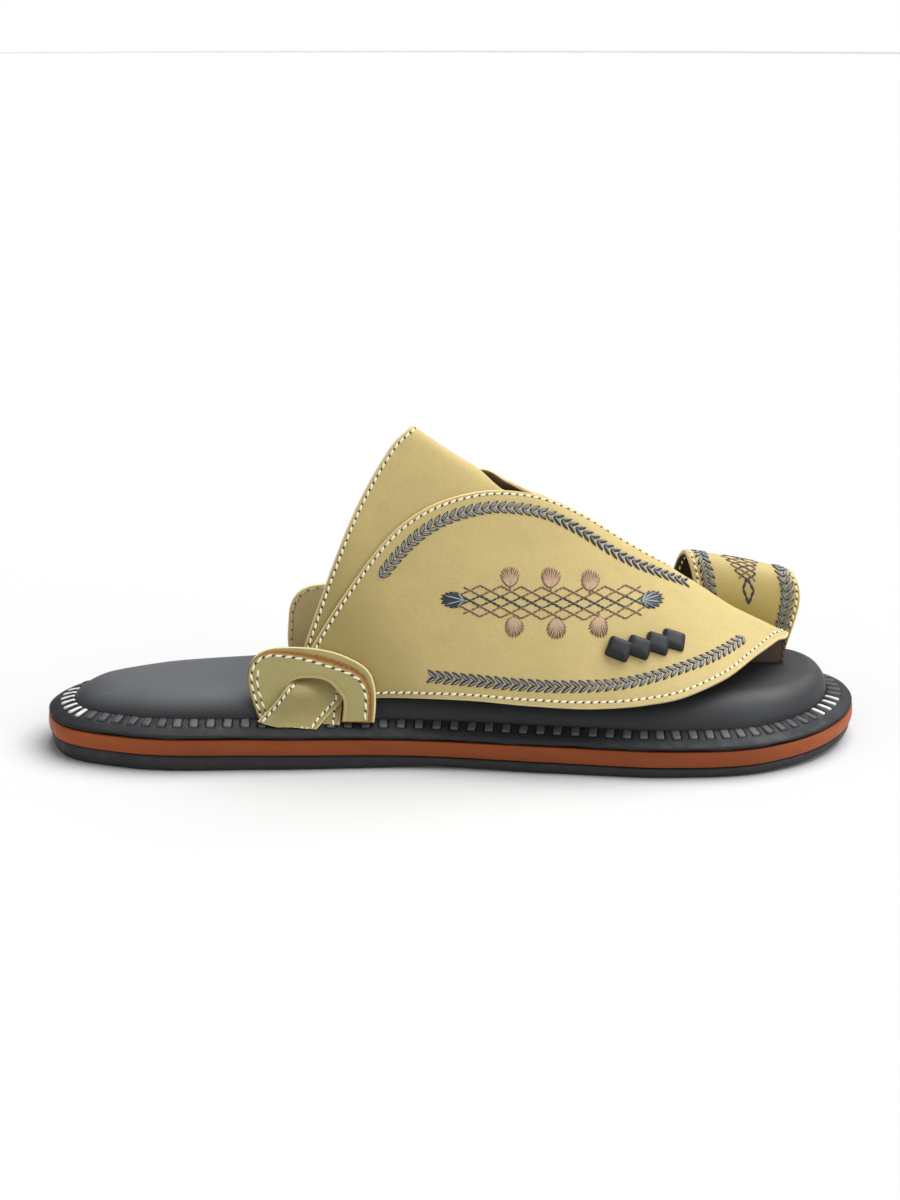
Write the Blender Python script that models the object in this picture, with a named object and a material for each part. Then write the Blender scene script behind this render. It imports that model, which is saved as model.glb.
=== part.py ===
"""Arabic sandal for the right foot, in metres, +Z up, toe towards +X, inner side towards +Y."""

import math

import bmesh
import bpy
import numpy as np

MM = 0.001

# Driving sizes, in millimetres; x runs from heel to toe, y from the outer side to the inner side
# and z up from the floor
HEEL_END, TOE_END = 1.5, 289.0
GAP = 0.3
TOE_SPRING = 3.0
SPRING_START = 228.0
ARCH_RISE = 1.0
ARCH_START, ARCH_END = 112.0, 176.0
HEEL_ROLL = 0.9
HEEL_ROLL_LENGTH = 12.0
STATIONS_PER_SIDE = 46

PAD_INSET = 9.6
LAST_BASE = 20.0
WALL_START, WALL_END = 216.0, 242.0

LEATHER = 2.0
LAYER = 1.5
UNDERLAP = 0.6
LOOP_WALL = 2.2
EAR_WALL = 3.2
FOOT_REACH = 1.2
EAR_OFFSET = LAYER + LEATHER + 2 * GAP
RIM_LIFT = 2.6

STUD_HALF_WIDTH = 3.3
STUD_HALF_HEIGHT = 4.3
STUD_RISE = 2.2


class Table:
    """Rows of sizes under named columns; the first column is the station."""

    def __init__(self, columns, *rows):
        self.columns = columns.split()
        self.rows = np.array(rows, float)

    def column(self, name):
        return self.rows[:, self.columns.index(name)]

    def read(self, name, station):
        """Smooth value of a column at any station, held level beyond the ends."""
        at, value = self.rows[:, 0], self.column(name)
        slope = np.gradient(value, at)
        station = np.clip(np.asarray(station, float), at[0], at[-1])
        i = np.clip(np.searchsorted(at, station, side="right") - 1, 0, len(at) - 2)
        step = at[i + 1] - at[i]
        t = (station - at[i]) / step
        start = (1 + 2 * t) * (1 - t) ** 2 * value[i] + t * (1 - t) ** 2 * step * slope[i]
        end = t * t * (3 - 2 * t) * value[i + 1] + t * t * (t - 1) * step * slope[i + 1]
        return start + end

    def spread(self, per_row):
        """All columns at evenly spaced places between the rows, on smooth curves."""
        count = len(self.rows)
        places = np.linspace(0, count - 1, (count - 1) * per_row + 1)
        rows = Table("row " + " ".join(self.columns), *np.column_stack([np.arange(count), self.rows]))
        return {name: rows.read(name, places) for name in self.columns}


# Edge of the sole, from the heel end along the outer side to the toe and back along the inner side
OUTLINE = Table(
    "x y",
    (1.5, 0.0), (9.2, -21.5), (33.0, -33.5), (80.0, -35.5), (132.0, -33.5), (180.0, -39.0),
    (220.0, -43.0), (251.0, -38.5), (273.0, -24.0), (285.0, -6.0), (289.0, 13.0),
    (286.5, 28.5), (278.0, 41.0), (255.0, 49.0), (215.0, 51.5), (175.0, 44.5),
    (125.0, 36.0), (80.0, 35.0), (33.0, 33.5), (9.2, 21.5),
)
TOE_ROW = 10

THICKNESS = Table(
    "x outsole midsole crown shoulder",
    (0.0, 5.6, 6.0, 5.5, 30.0),
    (40.0, 5.5, 6.0, 8.8, 24.0),
    (85.0, 5.2, 5.9, 10.6, 16.0),
    (135.0, 4.4, 5.8, 11.0, 14.0),
    (210.0, 3.6, 6.0, 11.0, 13.0),
    (255.0, 3.3, 5.8, 9.9, 9.0),
    (290.0, 3.0, 5.4, 8.8, 6.0),
)

# Side profiles of the layers: distance in from the edge, and height as a share of the layer
OUTSOLE_SIDE = Table("inset share", (3.4, 0.0), (1.8, 0.06), (1.1, 0.30), (0.9, 1.0))
MIDSOLE_SIDE = Table("inset share", (0.7, 0.0), (0.1, 0.22), (0.0, 0.55), (0.3, 1.0))
# Sloping rim of the insole: distance in from the edge, and rise in millimetres
RIM = Table(
    "inset rise",
    (0.7, 0.0), (0.3, 0.5), (0.6, 1.1), (1.6, 1.7), (5.0, 3.2), (8.4, 4.3), (9.6, 4.0),
)
PAD_RINGS = (10.3, 11.6, 13.6, 16.4)
PAD_COLUMNS = 7

# Sections of the last: outer foot line, ridge, inner foot line and how round the ridge fold is
LAST = Table(
    "x lateral ridge_y ridge_z medial fold",
    (60.0, -17.0, 2.0, 151.0, 17.0, 5.0),
    (90.0, -20.5, 2.5, 135.0, 20.5, 5.0),
    (120.0, -22.8, 3.0, 118.0, 24.0, 5.0),
    (150.0, -31.0, 3.5, 98.5, 33.0, 5.0),
    (180.0, -36.5, 4.0, 82.0, 39.0, 5.0),
    (210.0, -38.0, 5.0, 64.5, 36.0, 4.0),
    (230.0, -36.5, 6.5, 52.0, 20.0, 3.0),
    (250.0, -32.0, 7.6, 41.5, 11.6, 2.0),
    (270.0, -25.0, 8.4, 33.5, 11.4, 1.5),
    (290.0, -18.0, 9.0, 25.0, 11.4, 1.5),
)

# Flap edges on the last; wrap is -1 at the outer foot line, 0 on the ridge and 1 at the inner foot line
LEAF = Table(
    "upper_x upper_wrap lower_x lower_wrap",
    (91.0, -0.93, 111.0, -0.965),
    (98.0, -0.81, 120.0, -0.937),
    (110.0, -0.63, 134.0, -0.935),
    (128.0, -0.375, 152.0, -0.952),
    (147.5, -0.17, 172.0, -0.970),
    (167.0, -0.04, 193.0, -0.978),
    (187.0, -0.01, 211.0, -0.945),
    (205.0, -0.01, 225.0, -0.870),
    (218.0, 0.03, 239.0, -0.700),
    (228.0, 0.20, 251.0, -0.42),
    (235.0, 0.45, 259.5, -0.18),
    (239.5, 0.70, 264.4, 0.02),
    (243.0, 0.94, 264.0, 0.90),
)
INSTEP = Table(
    "upper_x upper_wrap lower_x lower_wrap",
    (90.5, -0.92, 108.0, -0.92),
    (96.9, -0.757, 121.0, -0.74),
    (104.7, -0.556, 136.0, -0.54),
    (111.2, -0.399, 149.0, -0.37),
    (117.5, -0.263, 160.0, -0.22),
    (123.8, -0.132, 166.0, -0.10),
    (129.8, 0.0, 169.0, 0.0),
    (126.5, 0.132, 166.0, 0.10),
    (121.5, 0.263, 161.0, 0.22),
    (116.5, 0.399, 152.0, 0.37),
    (111.2, 0.556, 141.0, 0.54),
    (105.0, 0.757, 128.0, 0.74),
    (101.0, 0.92, 118.0, 0.92),
)
MEDIAL = Table(
    "upper_x upper_wrap lower_x lower_wrap",
    (101.0, 0.93, 121.0, 0.965),
    (108.0, 0.80, 130.0, 0.937),
    (119.0, 0.61, 142.0, 0.93),
    (133.0, 0.36, 158.0, 0.93),
    (147.0, 0.14, 174.0, 0.93),
    (160.0, 0.03, 189.0, 0.91),
    (174.0, -0.02, 203.0, 0.83),
    (190.0, -0.10, 214.0, 0.66),
    (205.0, -0.12, 222.0, 0.42),
    (217.0, -0.12, 227.0, 0.16),
)

# Ear seen from the side: outer and inner edge of the arched tab, from its rear foot to its front foot
EAR = Table(
    "outer_x outer_z inner_x inner_z",
    (78.0, 14.0, 80.4, 14.0),
    (75.8, 22.0, 84.3, 21.0),
    (75.8, 30.0, 88.6, 26.8),
    (80.4, 37.0, 92.5, 29.4),
    (90.0, 39.7, 96.0, 30.2),
    (103.5, 37.0, 100.0, 29.4),
    (112.0, 32.8, 103.6, 27.0),
    (117.6, 26.6, 107.0, 23.6),
    (119.0, 20.0, 107.4, 18.6),
    (119.0, 13.0, 107.2, 13.0),
)
# Strap tails seen from the side, from behind the ear down to the sole; low and high are their two faces
# above the last
LEAF_TAIL = Table(
    "rear_x rear_z front_x front_z low high",
    (93.5, 32.0, 104.0, 31.0, 2.0, 2.9),
    (92.0, 28.6, 103.6, 27.4, 2.2, 3.3),
    (89.6, 25.4, 102.8, 23.2, 2.8, 5.2),
    (85.4, 19.6, 99.4, 17.6, 4.0, 6.6),
    (81.6, 14.0, 95.6, 13.0, 4.8, 7.4),
)
INSTEP_TAIL = Table(
    "rear_x rear_z front_x front_z low high",
    (100.0, 31.0, 104.6, 30.0, 1.9, 2.8),
    (100.0, 27.4, 104.6, 26.4, 2.0, 3.2),
    (100.2, 21.5, 105.6, 20.6, 2.2, 4.6),
    (98.0, 13.0, 105.8, 13.0, 2.6, 5.0),
)
# The inner ear and its tails sit further forward and reach higher than the outer ones
MEDIAL_SHIFT = 11.0
MEDIAL_STRETCH = 1.36
EAR_FOOT = 16.0

# Arches of the toe loop, from its rear rim to its front rim
LOOP = Table(
    "lateral_x lateral_y top_x top_y top_z medial_x medial_y sweep",
    (243.0, 17.0, 228.0, 28.5, 61.4, 220.5, 42.6, 0.75),
    (253.5, 15.8, 249.0, 28.0, 58.4, 245.0, 40.6, 1.0),
    (264.5, 14.8, 269.6, 27.2, 54.4, 264.5, 37.4, 1.6),
)
LOOP_FOOT = 13.0
LOOP_ROUNDNESS = 2.9

STUDS = Table("x wrap", (200.6, -0.637), (207.5, -0.600), (214.1, -0.552), (220.6, -0.494))


def clear_scene():
    for item in list(bpy.data.objects):
        bpy.data.objects.remove(item, do_unlink=True)


def material(name, colour, roughness, metallic=0.0):
    made = bpy.data.materials.new(name)
    made.use_nodes = True
    shader = made.node_tree.nodes["Principled BSDF"]
    shader.inputs["Base Color"].default_value = (*colour, 1.0)
    shader.inputs["Roughness"].default_value = roughness
    shader.inputs["Metallic"].default_value = metallic
    made.diffuse_color = (*colour, 1.0)
    return made


def solid(name, points, faces, surface):
    """A closed mesh object from points in millimetres, placed over the middle of the sole."""
    mesh = bpy.data.meshes.new(name)
    mesh.from_pydata([tuple(p) for p in np.asarray(points) * MM], [], faces)
    shape = bmesh.new()
    shape.from_mesh(mesh)
    bmesh.ops.recalc_face_normals(shape, faces=shape.faces)
    shape.to_mesh(mesh)
    shape.free()
    mesh.materials.append(surface)
    mesh.shade_smooth()
    mesh.set_sharp_from_angle(angle=math.radians(40))
    made = bpy.data.objects.new(name, mesh)
    made.location = (-(HEEL_END + TOE_END) / 2 * MM, -MIDDLE_Y * MM, 0.0)
    bpy.context.collection.objects.link(made)
    return made


# Sole


def closed_curve(points, fine=24):
    """Smooth closed curve through a few points; returns the fine curve and the step per point."""
    before, after = np.roll(points, 1, axis=0), np.roll(points, -1, axis=0)
    behind = np.linalg.norm(points - before, axis=1)[:, None]
    ahead = np.linalg.norm(after - points, axis=1)[:, None]
    tangent = (points - before) / behind * ahead + (after - points) / ahead * behind
    tangent /= behind + ahead
    t = np.linspace(0, 1, fine, endpoint=False)[None, :, None]
    start, end = points[:, None], after[:, None]
    leave = (tangent * ahead)[:, None]
    arrive = (np.roll(tangent, -1, axis=0) * ahead)[:, None]
    curve = (1 + 2 * t) * (1 - t) ** 2 * start + t * (1 - t) ** 2 * leave
    curve = curve + t * t * (3 - 2 * t) * end + t * t * (t - 1) * arrive
    return curve.reshape(-1, 2), fine


def even_steps(path, count):
    """The path cut into an even number of steps."""
    run = np.concatenate([[0], np.cumsum(np.linalg.norm(np.diff(path, axis=0), axis=1))])
    at = np.linspace(0, run[-1], count + 1)
    return np.column_stack([np.interp(at, run, path[:, i]) for i in range(2)])


def sole_edge():
    curve, fine = closed_curve(OUTLINE.rows)
    toe = TOE_ROW * fine
    outer = even_steps(curve[:toe + 1], STATIONS_PER_SIDE)
    inner = even_steps(np.vstack([curve[toe:], curve[:1]]), STATIONS_PER_SIDE)
    return np.vstack([outer[:-1], inner[:-1]])


EDGE = sole_edge()
MIDDLE_Y = (EDGE[:, 1].min() + EDGE[:, 1].max()) / 2
EDGE_ALONG = np.roll(EDGE, -1, axis=0) - np.roll(EDGE, 1, axis=0)
EDGE_INWARD = np.column_stack([-EDGE_ALONG[:, 1], EDGE_ALONG[:, 0]])
EDGE_INWARD /= np.linalg.norm(EDGE_INWARD, axis=1)[:, None]


def edge_loop(inset):
    return EDGE + EDGE_INWARD * inset


def edge_distance(x, y):
    """Shortest way from places on the sole to its edge."""
    start, step = EDGE, np.roll(EDGE, -1, axis=0) - EDGE
    place = np.stack(np.broadcast_arrays(x, y), -1)[..., None, :]
    share = ((place - start) * step).sum(-1) / (step ** 2).sum(-1)
    nearest = start + np.clip(share, 0, 1)[..., None] * step
    return np.linalg.norm(place - nearest, axis=-1).min(-1)


def ground(x):
    """Height of the sole's underside: heel roll, arch and toe spring."""
    x = np.asarray(x, float)
    spring = np.clip((x - SPRING_START) / (TOE_END - SPRING_START), 0, 1) ** 2 * TOE_SPRING
    span = np.clip((x - ARCH_START) / (ARCH_END - ARCH_START), 0, 1)
    arch = ARCH_RISE * np.sin(math.pi * span) ** 2
    roll = np.clip(1 - (x - HEEL_END) / HEEL_ROLL_LENGTH, 0, 1) ** 2 * HEEL_ROLL
    return spring + arch + roll


def spring_only(x):
    return np.clip((np.asarray(x, float) - SPRING_START) / (TOE_END - SPRING_START), 0, 1) ** 2 * TOE_SPRING


def outsole_top(x):
    return spring_only(x) + THICKNESS.read("outsole", x)


def midsole_top(x):
    return outsole_top(x) + GAP + THICKNESS.read("midsole", x)


def insole_top(x, y, inset=None):
    """Height of the footbed: sloping rim, groove, then the padded dome."""
    inset = edge_distance(x, y) if inset is None else inset
    rim = np.interp(inset, RIM.column("inset")[1:], RIM.column("rise")[1:])
    share = np.clip((inset - PAD_INSET) / THICKNESS.read("shoulder", x), 0, 1)
    dome = THICKNESS.read("crown", x) * np.sqrt(1 - (1 - share) ** 2)
    return midsole_top(x) + GAP + rim + dome


def footing(x, y):
    """Lowest height a strap may reach: clear of the footbed over the strap's own thickness."""
    near = [insole_top(x, y + step) for step in (-FOOT_REACH, 0.0, FOOT_REACH)]
    return np.max(near, axis=0) + GAP


def ring_faces(first, second, count):
    return [(first + i, first + (i + 1) % count, second + (i + 1) % count, second + i) for i in range(count)]


def rung_faces(first, count):
    """A loop closed straight across, from the outer side to the inner side."""
    half = count // 2
    faces = [(first, first + 1, first + count - 1)]
    for i in range(1, half - 1):
        faces.append((first + i, first + i + 1, first + count - i - 1, first + count - i))
    faces.append((first + half - 1, first + half, first + half + 1))
    return faces


def stacked(loops):
    """Loops of equal length joined by side faces."""
    count = len(loops[0])
    faces = []
    for i in range(len(loops) - 1):
        faces += ring_faces(i * count, (i + 1) * count, count)
    return np.vstack(loops), faces, count


def layer_solid(name, side, low, high, surface):
    """A layer of the sole between two heights, with its own side profile."""
    loops = []
    for inset, share in side.rows:
        loop = edge_loop(inset)
        x = loop[:, 0]
        height = low(x) + (high(x) - low(x)) * share
        loops.append(np.column_stack([loop, height]))
    points, faces, count = stacked(loops)
    faces += rung_faces(0, count) + rung_faces((len(loops) - 1) * count, count)
    return solid(name, points, faces, surface)


def insole_solid(name, surface):
    loops = []
    for inset, rise in RIM.rows:
        loop = edge_loop(inset)
        loops.append(np.column_stack([loop, midsole_top(loop[:, 0]) + GAP + rise]))
    for inset in PAD_RINGS:
        loop = edge_loop(inset)
        loops.append(np.column_stack([loop, insole_top(loop[:, 0], loop[:, 1], inset)]))
    points, faces, count = stacked(loops)
    faces += rung_faces(0, count)
    half, last = count // 2, (len(loops) - 1) * count
    shares = (1 - np.cos(np.linspace(0, math.pi, PAD_COLUMNS + 2)[1:-1])) / 2
    rungs, points = [[last]], list(points)
    for i in range(1, half):
        start, end = points[last + i], points[last + count - i]
        rung = [last + i]
        for share in shares:
            x, y = (start + (end - start) * share)[:2]
            rung.append(len(points))
            points.append(np.array([x, y, float(insole_top(x, y))]))
        rungs.append(rung + [last + count - i])
    rungs.append([last + half])
    for one, two in zip(rungs, rungs[1:]):
        if len(one) == 1:
            faces += [(one[0], two[i], two[i + 1]) for i in range(len(two) - 1)]
        elif len(two) == 1:
            faces += [(two[0], one[i + 1], one[i]) for i in range(len(one) - 1)]
        else:
            faces += [(one[i], two[i], two[i + 1], one[i + 1]) for i in range(len(one) - 1)]
    return solid(name, points, faces, surface)


# Last, and the leather cut from it


def fade(value, start, end):
    share = np.clip((value - start) / (end - start), 0, 1)
    return share * share * (3 - 2 * share)


def last_point(x, wrap):
    """A place on the last: a tent of two flanks; towards the toe the inner flank turns into a wall."""
    x, wrap = np.broadcast_arrays(np.asarray(x, float), np.asarray(wrap, float))
    ridge_y, fold = LAST.read("ridge_y", x), LAST.read("fold", x)
    run = np.where(wrap < 0, ridge_y - LAST.read("lateral", x), LAST.read("medial", x) - ridge_y)
    drop = LAST.read("ridge_z", x) - LAST_BASE
    out = wrap * np.sqrt(drop ** 2 + 2 * fold * drop)
    height = drop + fold - np.sqrt(fold ** 2 + out ** 2)
    wall = fade(x, WALL_START, WALL_END) * (wrap > 0)
    turn = np.clip(wrap, 0, 1) * math.pi / 2
    share = wrap * (1 - wall) + np.sin(turn) * wall
    height = height * (1 - wall) + drop * np.cos(turn) * wall
    return np.stack([x, ridge_y + share * run, LAST_BASE + height], -1)


def last_normal(x, wrap):
    step = 1e-3
    along = last_point(x + step, wrap) - last_point(x - step, wrap)
    across = last_point(x, wrap + step) - last_point(x, wrap - step)
    normal = np.cross(along, across)
    return normal / np.linalg.norm(normal, axis=-1, keepdims=True)


def on_last(x, wrap, offset):
    """A place raised off the last, and never sunk into the footbed."""
    place = last_point(x, wrap) + last_normal(x, wrap) * np.asarray(offset)[..., None]
    place[..., 2] = np.maximum(place[..., 2], footing(place[..., 0], place[..., 1]))
    return place


def wrap_at(x, height, side):
    """Wrap of the place at a height on one flank of the last; side is -1 outer, 1 inner."""
    fold, drop = LAST.read("fold", x), LAST.read("ridge_z", x) - LAST_BASE
    out = np.sqrt(np.maximum((drop + LAST_BASE + fold - height) ** 2 - fold ** 2, 0))
    return side * out / np.sqrt(drop ** 2 + 2 * fold * drop)


def sheet_solid(name, low, high, surface):
    """A sheet of leather between two grids of places."""
    rows, columns = low.shape[:2]
    count = rows * columns
    cell = np.arange(count).reshape(rows, columns)
    faces = []
    for i in range(rows - 1):
        for j in range(columns - 1):
            quad = (cell[i, j], cell[i + 1, j], cell[i + 1, j + 1], cell[i, j + 1])
            faces.append(tuple(int(v) for v in quad))
            faces.append(tuple(int(v) + count for v in reversed(quad)))
    rim = [*cell[0, :-1], *cell[:-1, -1], *cell[-1, :0:-1], *cell[:0:-1, 0]]
    for one, two in zip(rim, rim[1:] + rim[:1]):
        faces.append((int(one), int(two), int(two) + count, int(one) + count))
    return solid(name, np.vstack([low.reshape(-1, 3), high.reshape(-1, 3)]), faces, surface)


def across(rows, first, second, columns):
    """Values between two edges, a column at a time."""
    share = np.linspace(0, 1, columns)[None, :]
    return rows[first][:, None] * (1 - share) + rows[second][:, None] * share


def ridge_shares(upper, lower, columns):
    """Even steps between the edges, with the nearest column moved onto the ridge where one crosses it."""
    even = np.linspace(0, 1, columns)
    shares = np.repeat(even[None, :], len(upper), axis=0)
    for row, (first, second) in enumerate(zip(upper, lower)):
        if first * second >= 0:
            continue
        ridge = first / (first - second)
        if even[1] / 2 < ridge < 1 - even[1] / 2:
            nearest = even[int(round(ridge * (columns - 1)))]
            shares[row] = np.interp(even, (0, nearest, 1), (0, ridge, 1))
    return shares


def flap_solid(name, table, per_row, columns, offset, surface):
    rows = table.spread(per_row)
    share = ridge_shares(rows["upper_wrap"], rows["lower_wrap"], columns)
    x = rows["upper_x"][:, None] * (1 - share) + rows["lower_x"][:, None] * share
    wrap = rows["upper_wrap"][:, None] * (1 - share) + rows["lower_wrap"][:, None] * share
    low = offset(x, share)
    return sheet_solid(name, on_last(x, wrap, low), on_last(x, wrap, low + LEATHER), surface)


def leaf_offset(x, share):
    return LAYER * (1 - fade(x, 228, 246))


def instep_offset(x, share):
    return np.zeros_like(x)


def medial_offset(x, share):
    lift = RIM_LIFT * fade(share, 0.25, 0.0) * fade(x, 140, 150) * fade(x, 168, 158)
    return LAYER - (LAYER - UNDERLAP) * fade(x, 164, 178) + lift


def side_sheet(name, rows, edges, columns, low, high, side, surface):
    """A tab drawn from the side and laid on one flank of the last."""
    x = across(rows, edges[0] + "_x", edges[1] + "_x", columns)
    z = across(rows, edges[0] + "_z", edges[1] + "_z", columns)
    if side > 0:
        x = x + MEDIAL_SHIFT
        z = EAR_FOOT + (z - EAR_FOOT) * MEDIAL_STRETCH
    wrap = wrap_at(x, z, side)
    low = np.broadcast_to(np.asarray(low, float), x.shape)
    high = np.broadcast_to(np.asarray(high, float), x.shape)
    return sheet_solid(name, on_last(x, wrap, low), on_last(x, wrap, high), surface)


def tail_solid(name, table, side, surface):
    rows = table.spread(2)
    low, high = rows["low"][:, None], rows["high"][:, None]
    return side_sheet(name, rows, ("rear", "front"), 5, low, high, side, surface)


def ear_solid(name, side, surface):
    low, high = EAR_OFFSET, EAR_OFFSET + EAR_WALL
    return side_sheet(name, EAR.spread(3), ("outer", "inner"), 3, low, high, side, surface)


def joined(base, others):
    """One solid from straps that cross."""
    for other in others:
        union = base.modifiers.new(other.name, "BOOLEAN")
        union.operation = "UNION"
        union.solver = "EXACT"
        union.object = other
        other.hide_render = True
        other.display_type = "WIRE"
    return base


# Toe loop and studs


def loop_grid(inset, per_row, columns):
    """Places on the toe loop's arch, drawn in by a distance from its outer face."""
    rows = LOOP.spread(per_row)
    angle = np.linspace(-math.pi / 2, math.pi / 2, columns)[None, :]
    lean = np.abs(np.sin(angle)) ** (2 / LOOP_ROUNDNESS)
    lift = np.abs(np.cos(angle)) ** (2 / LOOP_ROUNDNESS)
    outer = np.broadcast_to(angle < 0, (len(rows["top_x"]), columns))
    column = {name: values[:, None] for name, values in rows.items()}
    foot_x = np.where(outer, column["lateral_x"], column["medial_x"])
    foot_y = np.where(outer, column["lateral_y"] + inset, column["medial_y"] - inset)
    x = column["top_x"] + (foot_x - column["top_x"]) * (1 - lift) ** column["sweep"]
    y = column["top_y"] + (foot_y - column["top_y"]) * lean
    z = LOOP_FOOT + (column["top_z"] - inset - LOOP_FOOT) * lift
    z = np.maximum(z, footing(x, y))
    return np.stack([x, y, z], -1)


def loop_solid(name, surface):
    return sheet_solid(name, loop_grid(LOOP_WALL, 5, 29), loop_grid(0.0, 5, 29), surface)


def stud_solid(name, x, wrap, surface):
    """A domed diamond lying on the leaf flap."""
    foot = on_last(np.array(x), np.array(wrap), np.array(LAYER + LEATHER + GAP))
    normal = last_normal(np.array(x), np.array(wrap))
    up = np.array([0.0, 0.0, 1.0]) - normal * normal[2]
    up /= np.linalg.norm(up)
    along = np.cross(up, normal)
    corners = ((-STUD_HALF_WIDTH, 0), (0, -STUD_HALF_HEIGHT), (STUD_HALF_WIDTH, 0), (0, STUD_HALF_HEIGHT))
    levels = ((1.0, 0.35), (1.0, 0.9), (0.72, STUD_RISE * 0.8), (0.30, STUD_RISE))
    points, faces = [], []
    for share, rise in levels:
        for right, high in corners:
            points.append(foot + along * right * share + up * high * share + normal * rise)
    for i in range(len(levels) - 1):
        faces += ring_faces(4 * i, 4 * i + 4, 4)
    faces += [(0, 1, 2, 3), (12, 13, 14, 15)]
    return solid(name, points, faces, surface)


def main():
    clear_scene()
    rubber = material("outsole_rubber", (0.018, 0.018, 0.022), 0.62)
    band = material("midsole_band", (0.26, 0.078, 0.032), 0.48)
    slate = material("footbed_slate", (0.105, 0.107, 0.108), 0.58)
    nubuck = material("khaki_nubuck", (0.47, 0.36, 0.15), 0.72)
    keeper = material("olive_khaki_leather", (0.40, 0.32, 0.135), 0.70)
    stud_slate = material("stud_slate", (0.055, 0.06, 0.072), 0.42)

    layer_solid("outsole", OUTSOLE_SIDE, ground, outsole_top, rubber)
    layer_solid("midsole", MIDSOLE_SIDE, lambda x: outsole_top(x) + GAP, midsole_top, band)
    insole_solid("insole", slate)

    upper = flap_solid("upper", LEAF, 3, 13, leaf_offset, nubuck)
    straps = [
        flap_solid("instep_strap", INSTEP, 2, 11, instep_offset, nubuck),
        flap_solid("medial_strap", MEDIAL, 3, 11, medial_offset, nubuck),
    ]
    for side, place in ((-1, "lateral"), (1, "medial")):
        straps.append(tail_solid(place + "_leaf_tail", LEAF_TAIL, side, nubuck))
        straps.append(tail_solid(place + "_instep_tail", INSTEP_TAIL, side, nubuck))
        ear_solid(place + "_ear", side, keeper)
    joined(upper, straps)

    loop_solid("toe_loop", nubuck)
    for i, (x, wrap) in enumerate(STUDS.rows):
        stud_solid("stud_%d" % (i + 1), x, wrap, stud_slate)


main()
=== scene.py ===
"""Arabic sandal for the right foot: leather, stitching, embroidery, sole finish, light and camera."""

import math

import bmesh
import bpy
import numpy as np
from bpy.props import FloatProperty, FloatVectorProperty, IntProperty, PointerProperty
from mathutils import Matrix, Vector


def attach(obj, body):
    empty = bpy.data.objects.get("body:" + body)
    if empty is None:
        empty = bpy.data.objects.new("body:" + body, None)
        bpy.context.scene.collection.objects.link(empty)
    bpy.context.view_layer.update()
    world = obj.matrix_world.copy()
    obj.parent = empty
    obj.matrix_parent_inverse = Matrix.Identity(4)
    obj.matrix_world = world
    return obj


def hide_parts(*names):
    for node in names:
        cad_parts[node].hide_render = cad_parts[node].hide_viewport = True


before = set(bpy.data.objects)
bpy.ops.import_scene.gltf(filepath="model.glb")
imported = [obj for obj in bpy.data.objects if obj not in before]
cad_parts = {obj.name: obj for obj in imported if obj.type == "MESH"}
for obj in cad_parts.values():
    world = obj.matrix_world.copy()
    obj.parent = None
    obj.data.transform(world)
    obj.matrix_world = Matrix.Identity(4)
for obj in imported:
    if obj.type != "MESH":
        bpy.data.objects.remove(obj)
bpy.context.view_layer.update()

bl_info = {
    "name": "Arabic Sandal",
    "version": (1, 0, 0),
    "blender": (4, 5, 0),
    "location": "View3D > Sidebar > Sandal",
    "description": "Dresses the sandal's solids with leather, stitching and embroidery",
    "category": "Add Mesh",
}

MM = 0.001

# Sole sizes, in millimetres; x runs from heel to toe, y from the outer side to the inner side
# and z up from the floor
HEEL_END, TOE_END = 1.5, 289.0
GAP = 0.3
TOE_SPRING, SPRING_START = 3.0, 228.0
ARCH_RISE, ARCH_START, ARCH_END = 1.0, 112.0, 176.0
HEEL_ROLL, HEEL_ROLL_LENGTH = 0.9, 12.0
PAD_INSET = 9.6
TREAD_PITCH, TREAD_DEPTH, TREAD_INSET, TREAD_FADE = 7.0, 0.7, 7.0, 2.0
TREAD_FLATNESS, TREAD_FLANK = 0.2, (0.35, 0.75)

# Sizes of the last and of the leather
LAST_BASE = 20.0
WALL_START, WALL_END = 216.0, 242.0
LAYER = 1.5
UNDERLAP = 0.6
RIM_LIFT, RIM_LIFT_SHARE = 3.6, 0.25
LOOP_WALL = 2.2
EAR_WALL = 3.2
EAR_CORE, CORE_TUCK, CORE_REACH = 0.5, 0.2, 0.4
FOOT_REACH = 0.4
INSTEP_SINK = 3.0
LEAF_SKIVE, SKIVE_ROWS = 0.9, (9.7, 11.0)
EDGE_ROUND, EDGE_ROUND_SHARE = 0.7, 0.42
# Reach of the light edge colour onto the top face (edge paint widened into a painted highlight along the
# rounded edge), and of the wear
PAINT_AND_HIGHLIGHT_REACH, WEAR_REACH = 0.5, 1.2
GROOVE_DEPTH, GROOVE_WIDTH = 0.22, 0.5
STITCH_SLANT = 0.21
EDGE_STEPS = np.array([0.0, 0.1, 0.25, 0.45, 0.7, 1.0, 1.4, 1.8, 2.3, 3.0])
SHARP_ANGLE = 50.0

# Steps that find the way out of a surface, and the ways along, across and up the shoe
SMALL_STEP, PROBE = 1e-3, 0.5
AHEAD, ASIDE, UP = (1.0, 0.0, 0.0), (0.0, 1.0, 0.0), (0.0, 0.0, 1.0)

# Spans along the last, from where a change starts to where it is complete: the leaf comes down to the last,
# the instep strap dips, the inner flap's rim rises and falls again, and the inner flap slips under the leaf
LEAF_DROP = (228.0, 246.0)
INSTEP_DIP = (151.0, 164.0)
RIM_RISE, RIM_FALL = (137.0, 147.0), (163.0, 154.0)
UNDERLAP_SPAN = (160.0, 172.0)

# Fineness of the sole's edge: places along each side, and points between the rows of its outline
COARSE_STEPS, SOLE_STEPS, RIM_STEPS, EDGE_FINE = 46, 200, 690, 96


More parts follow.
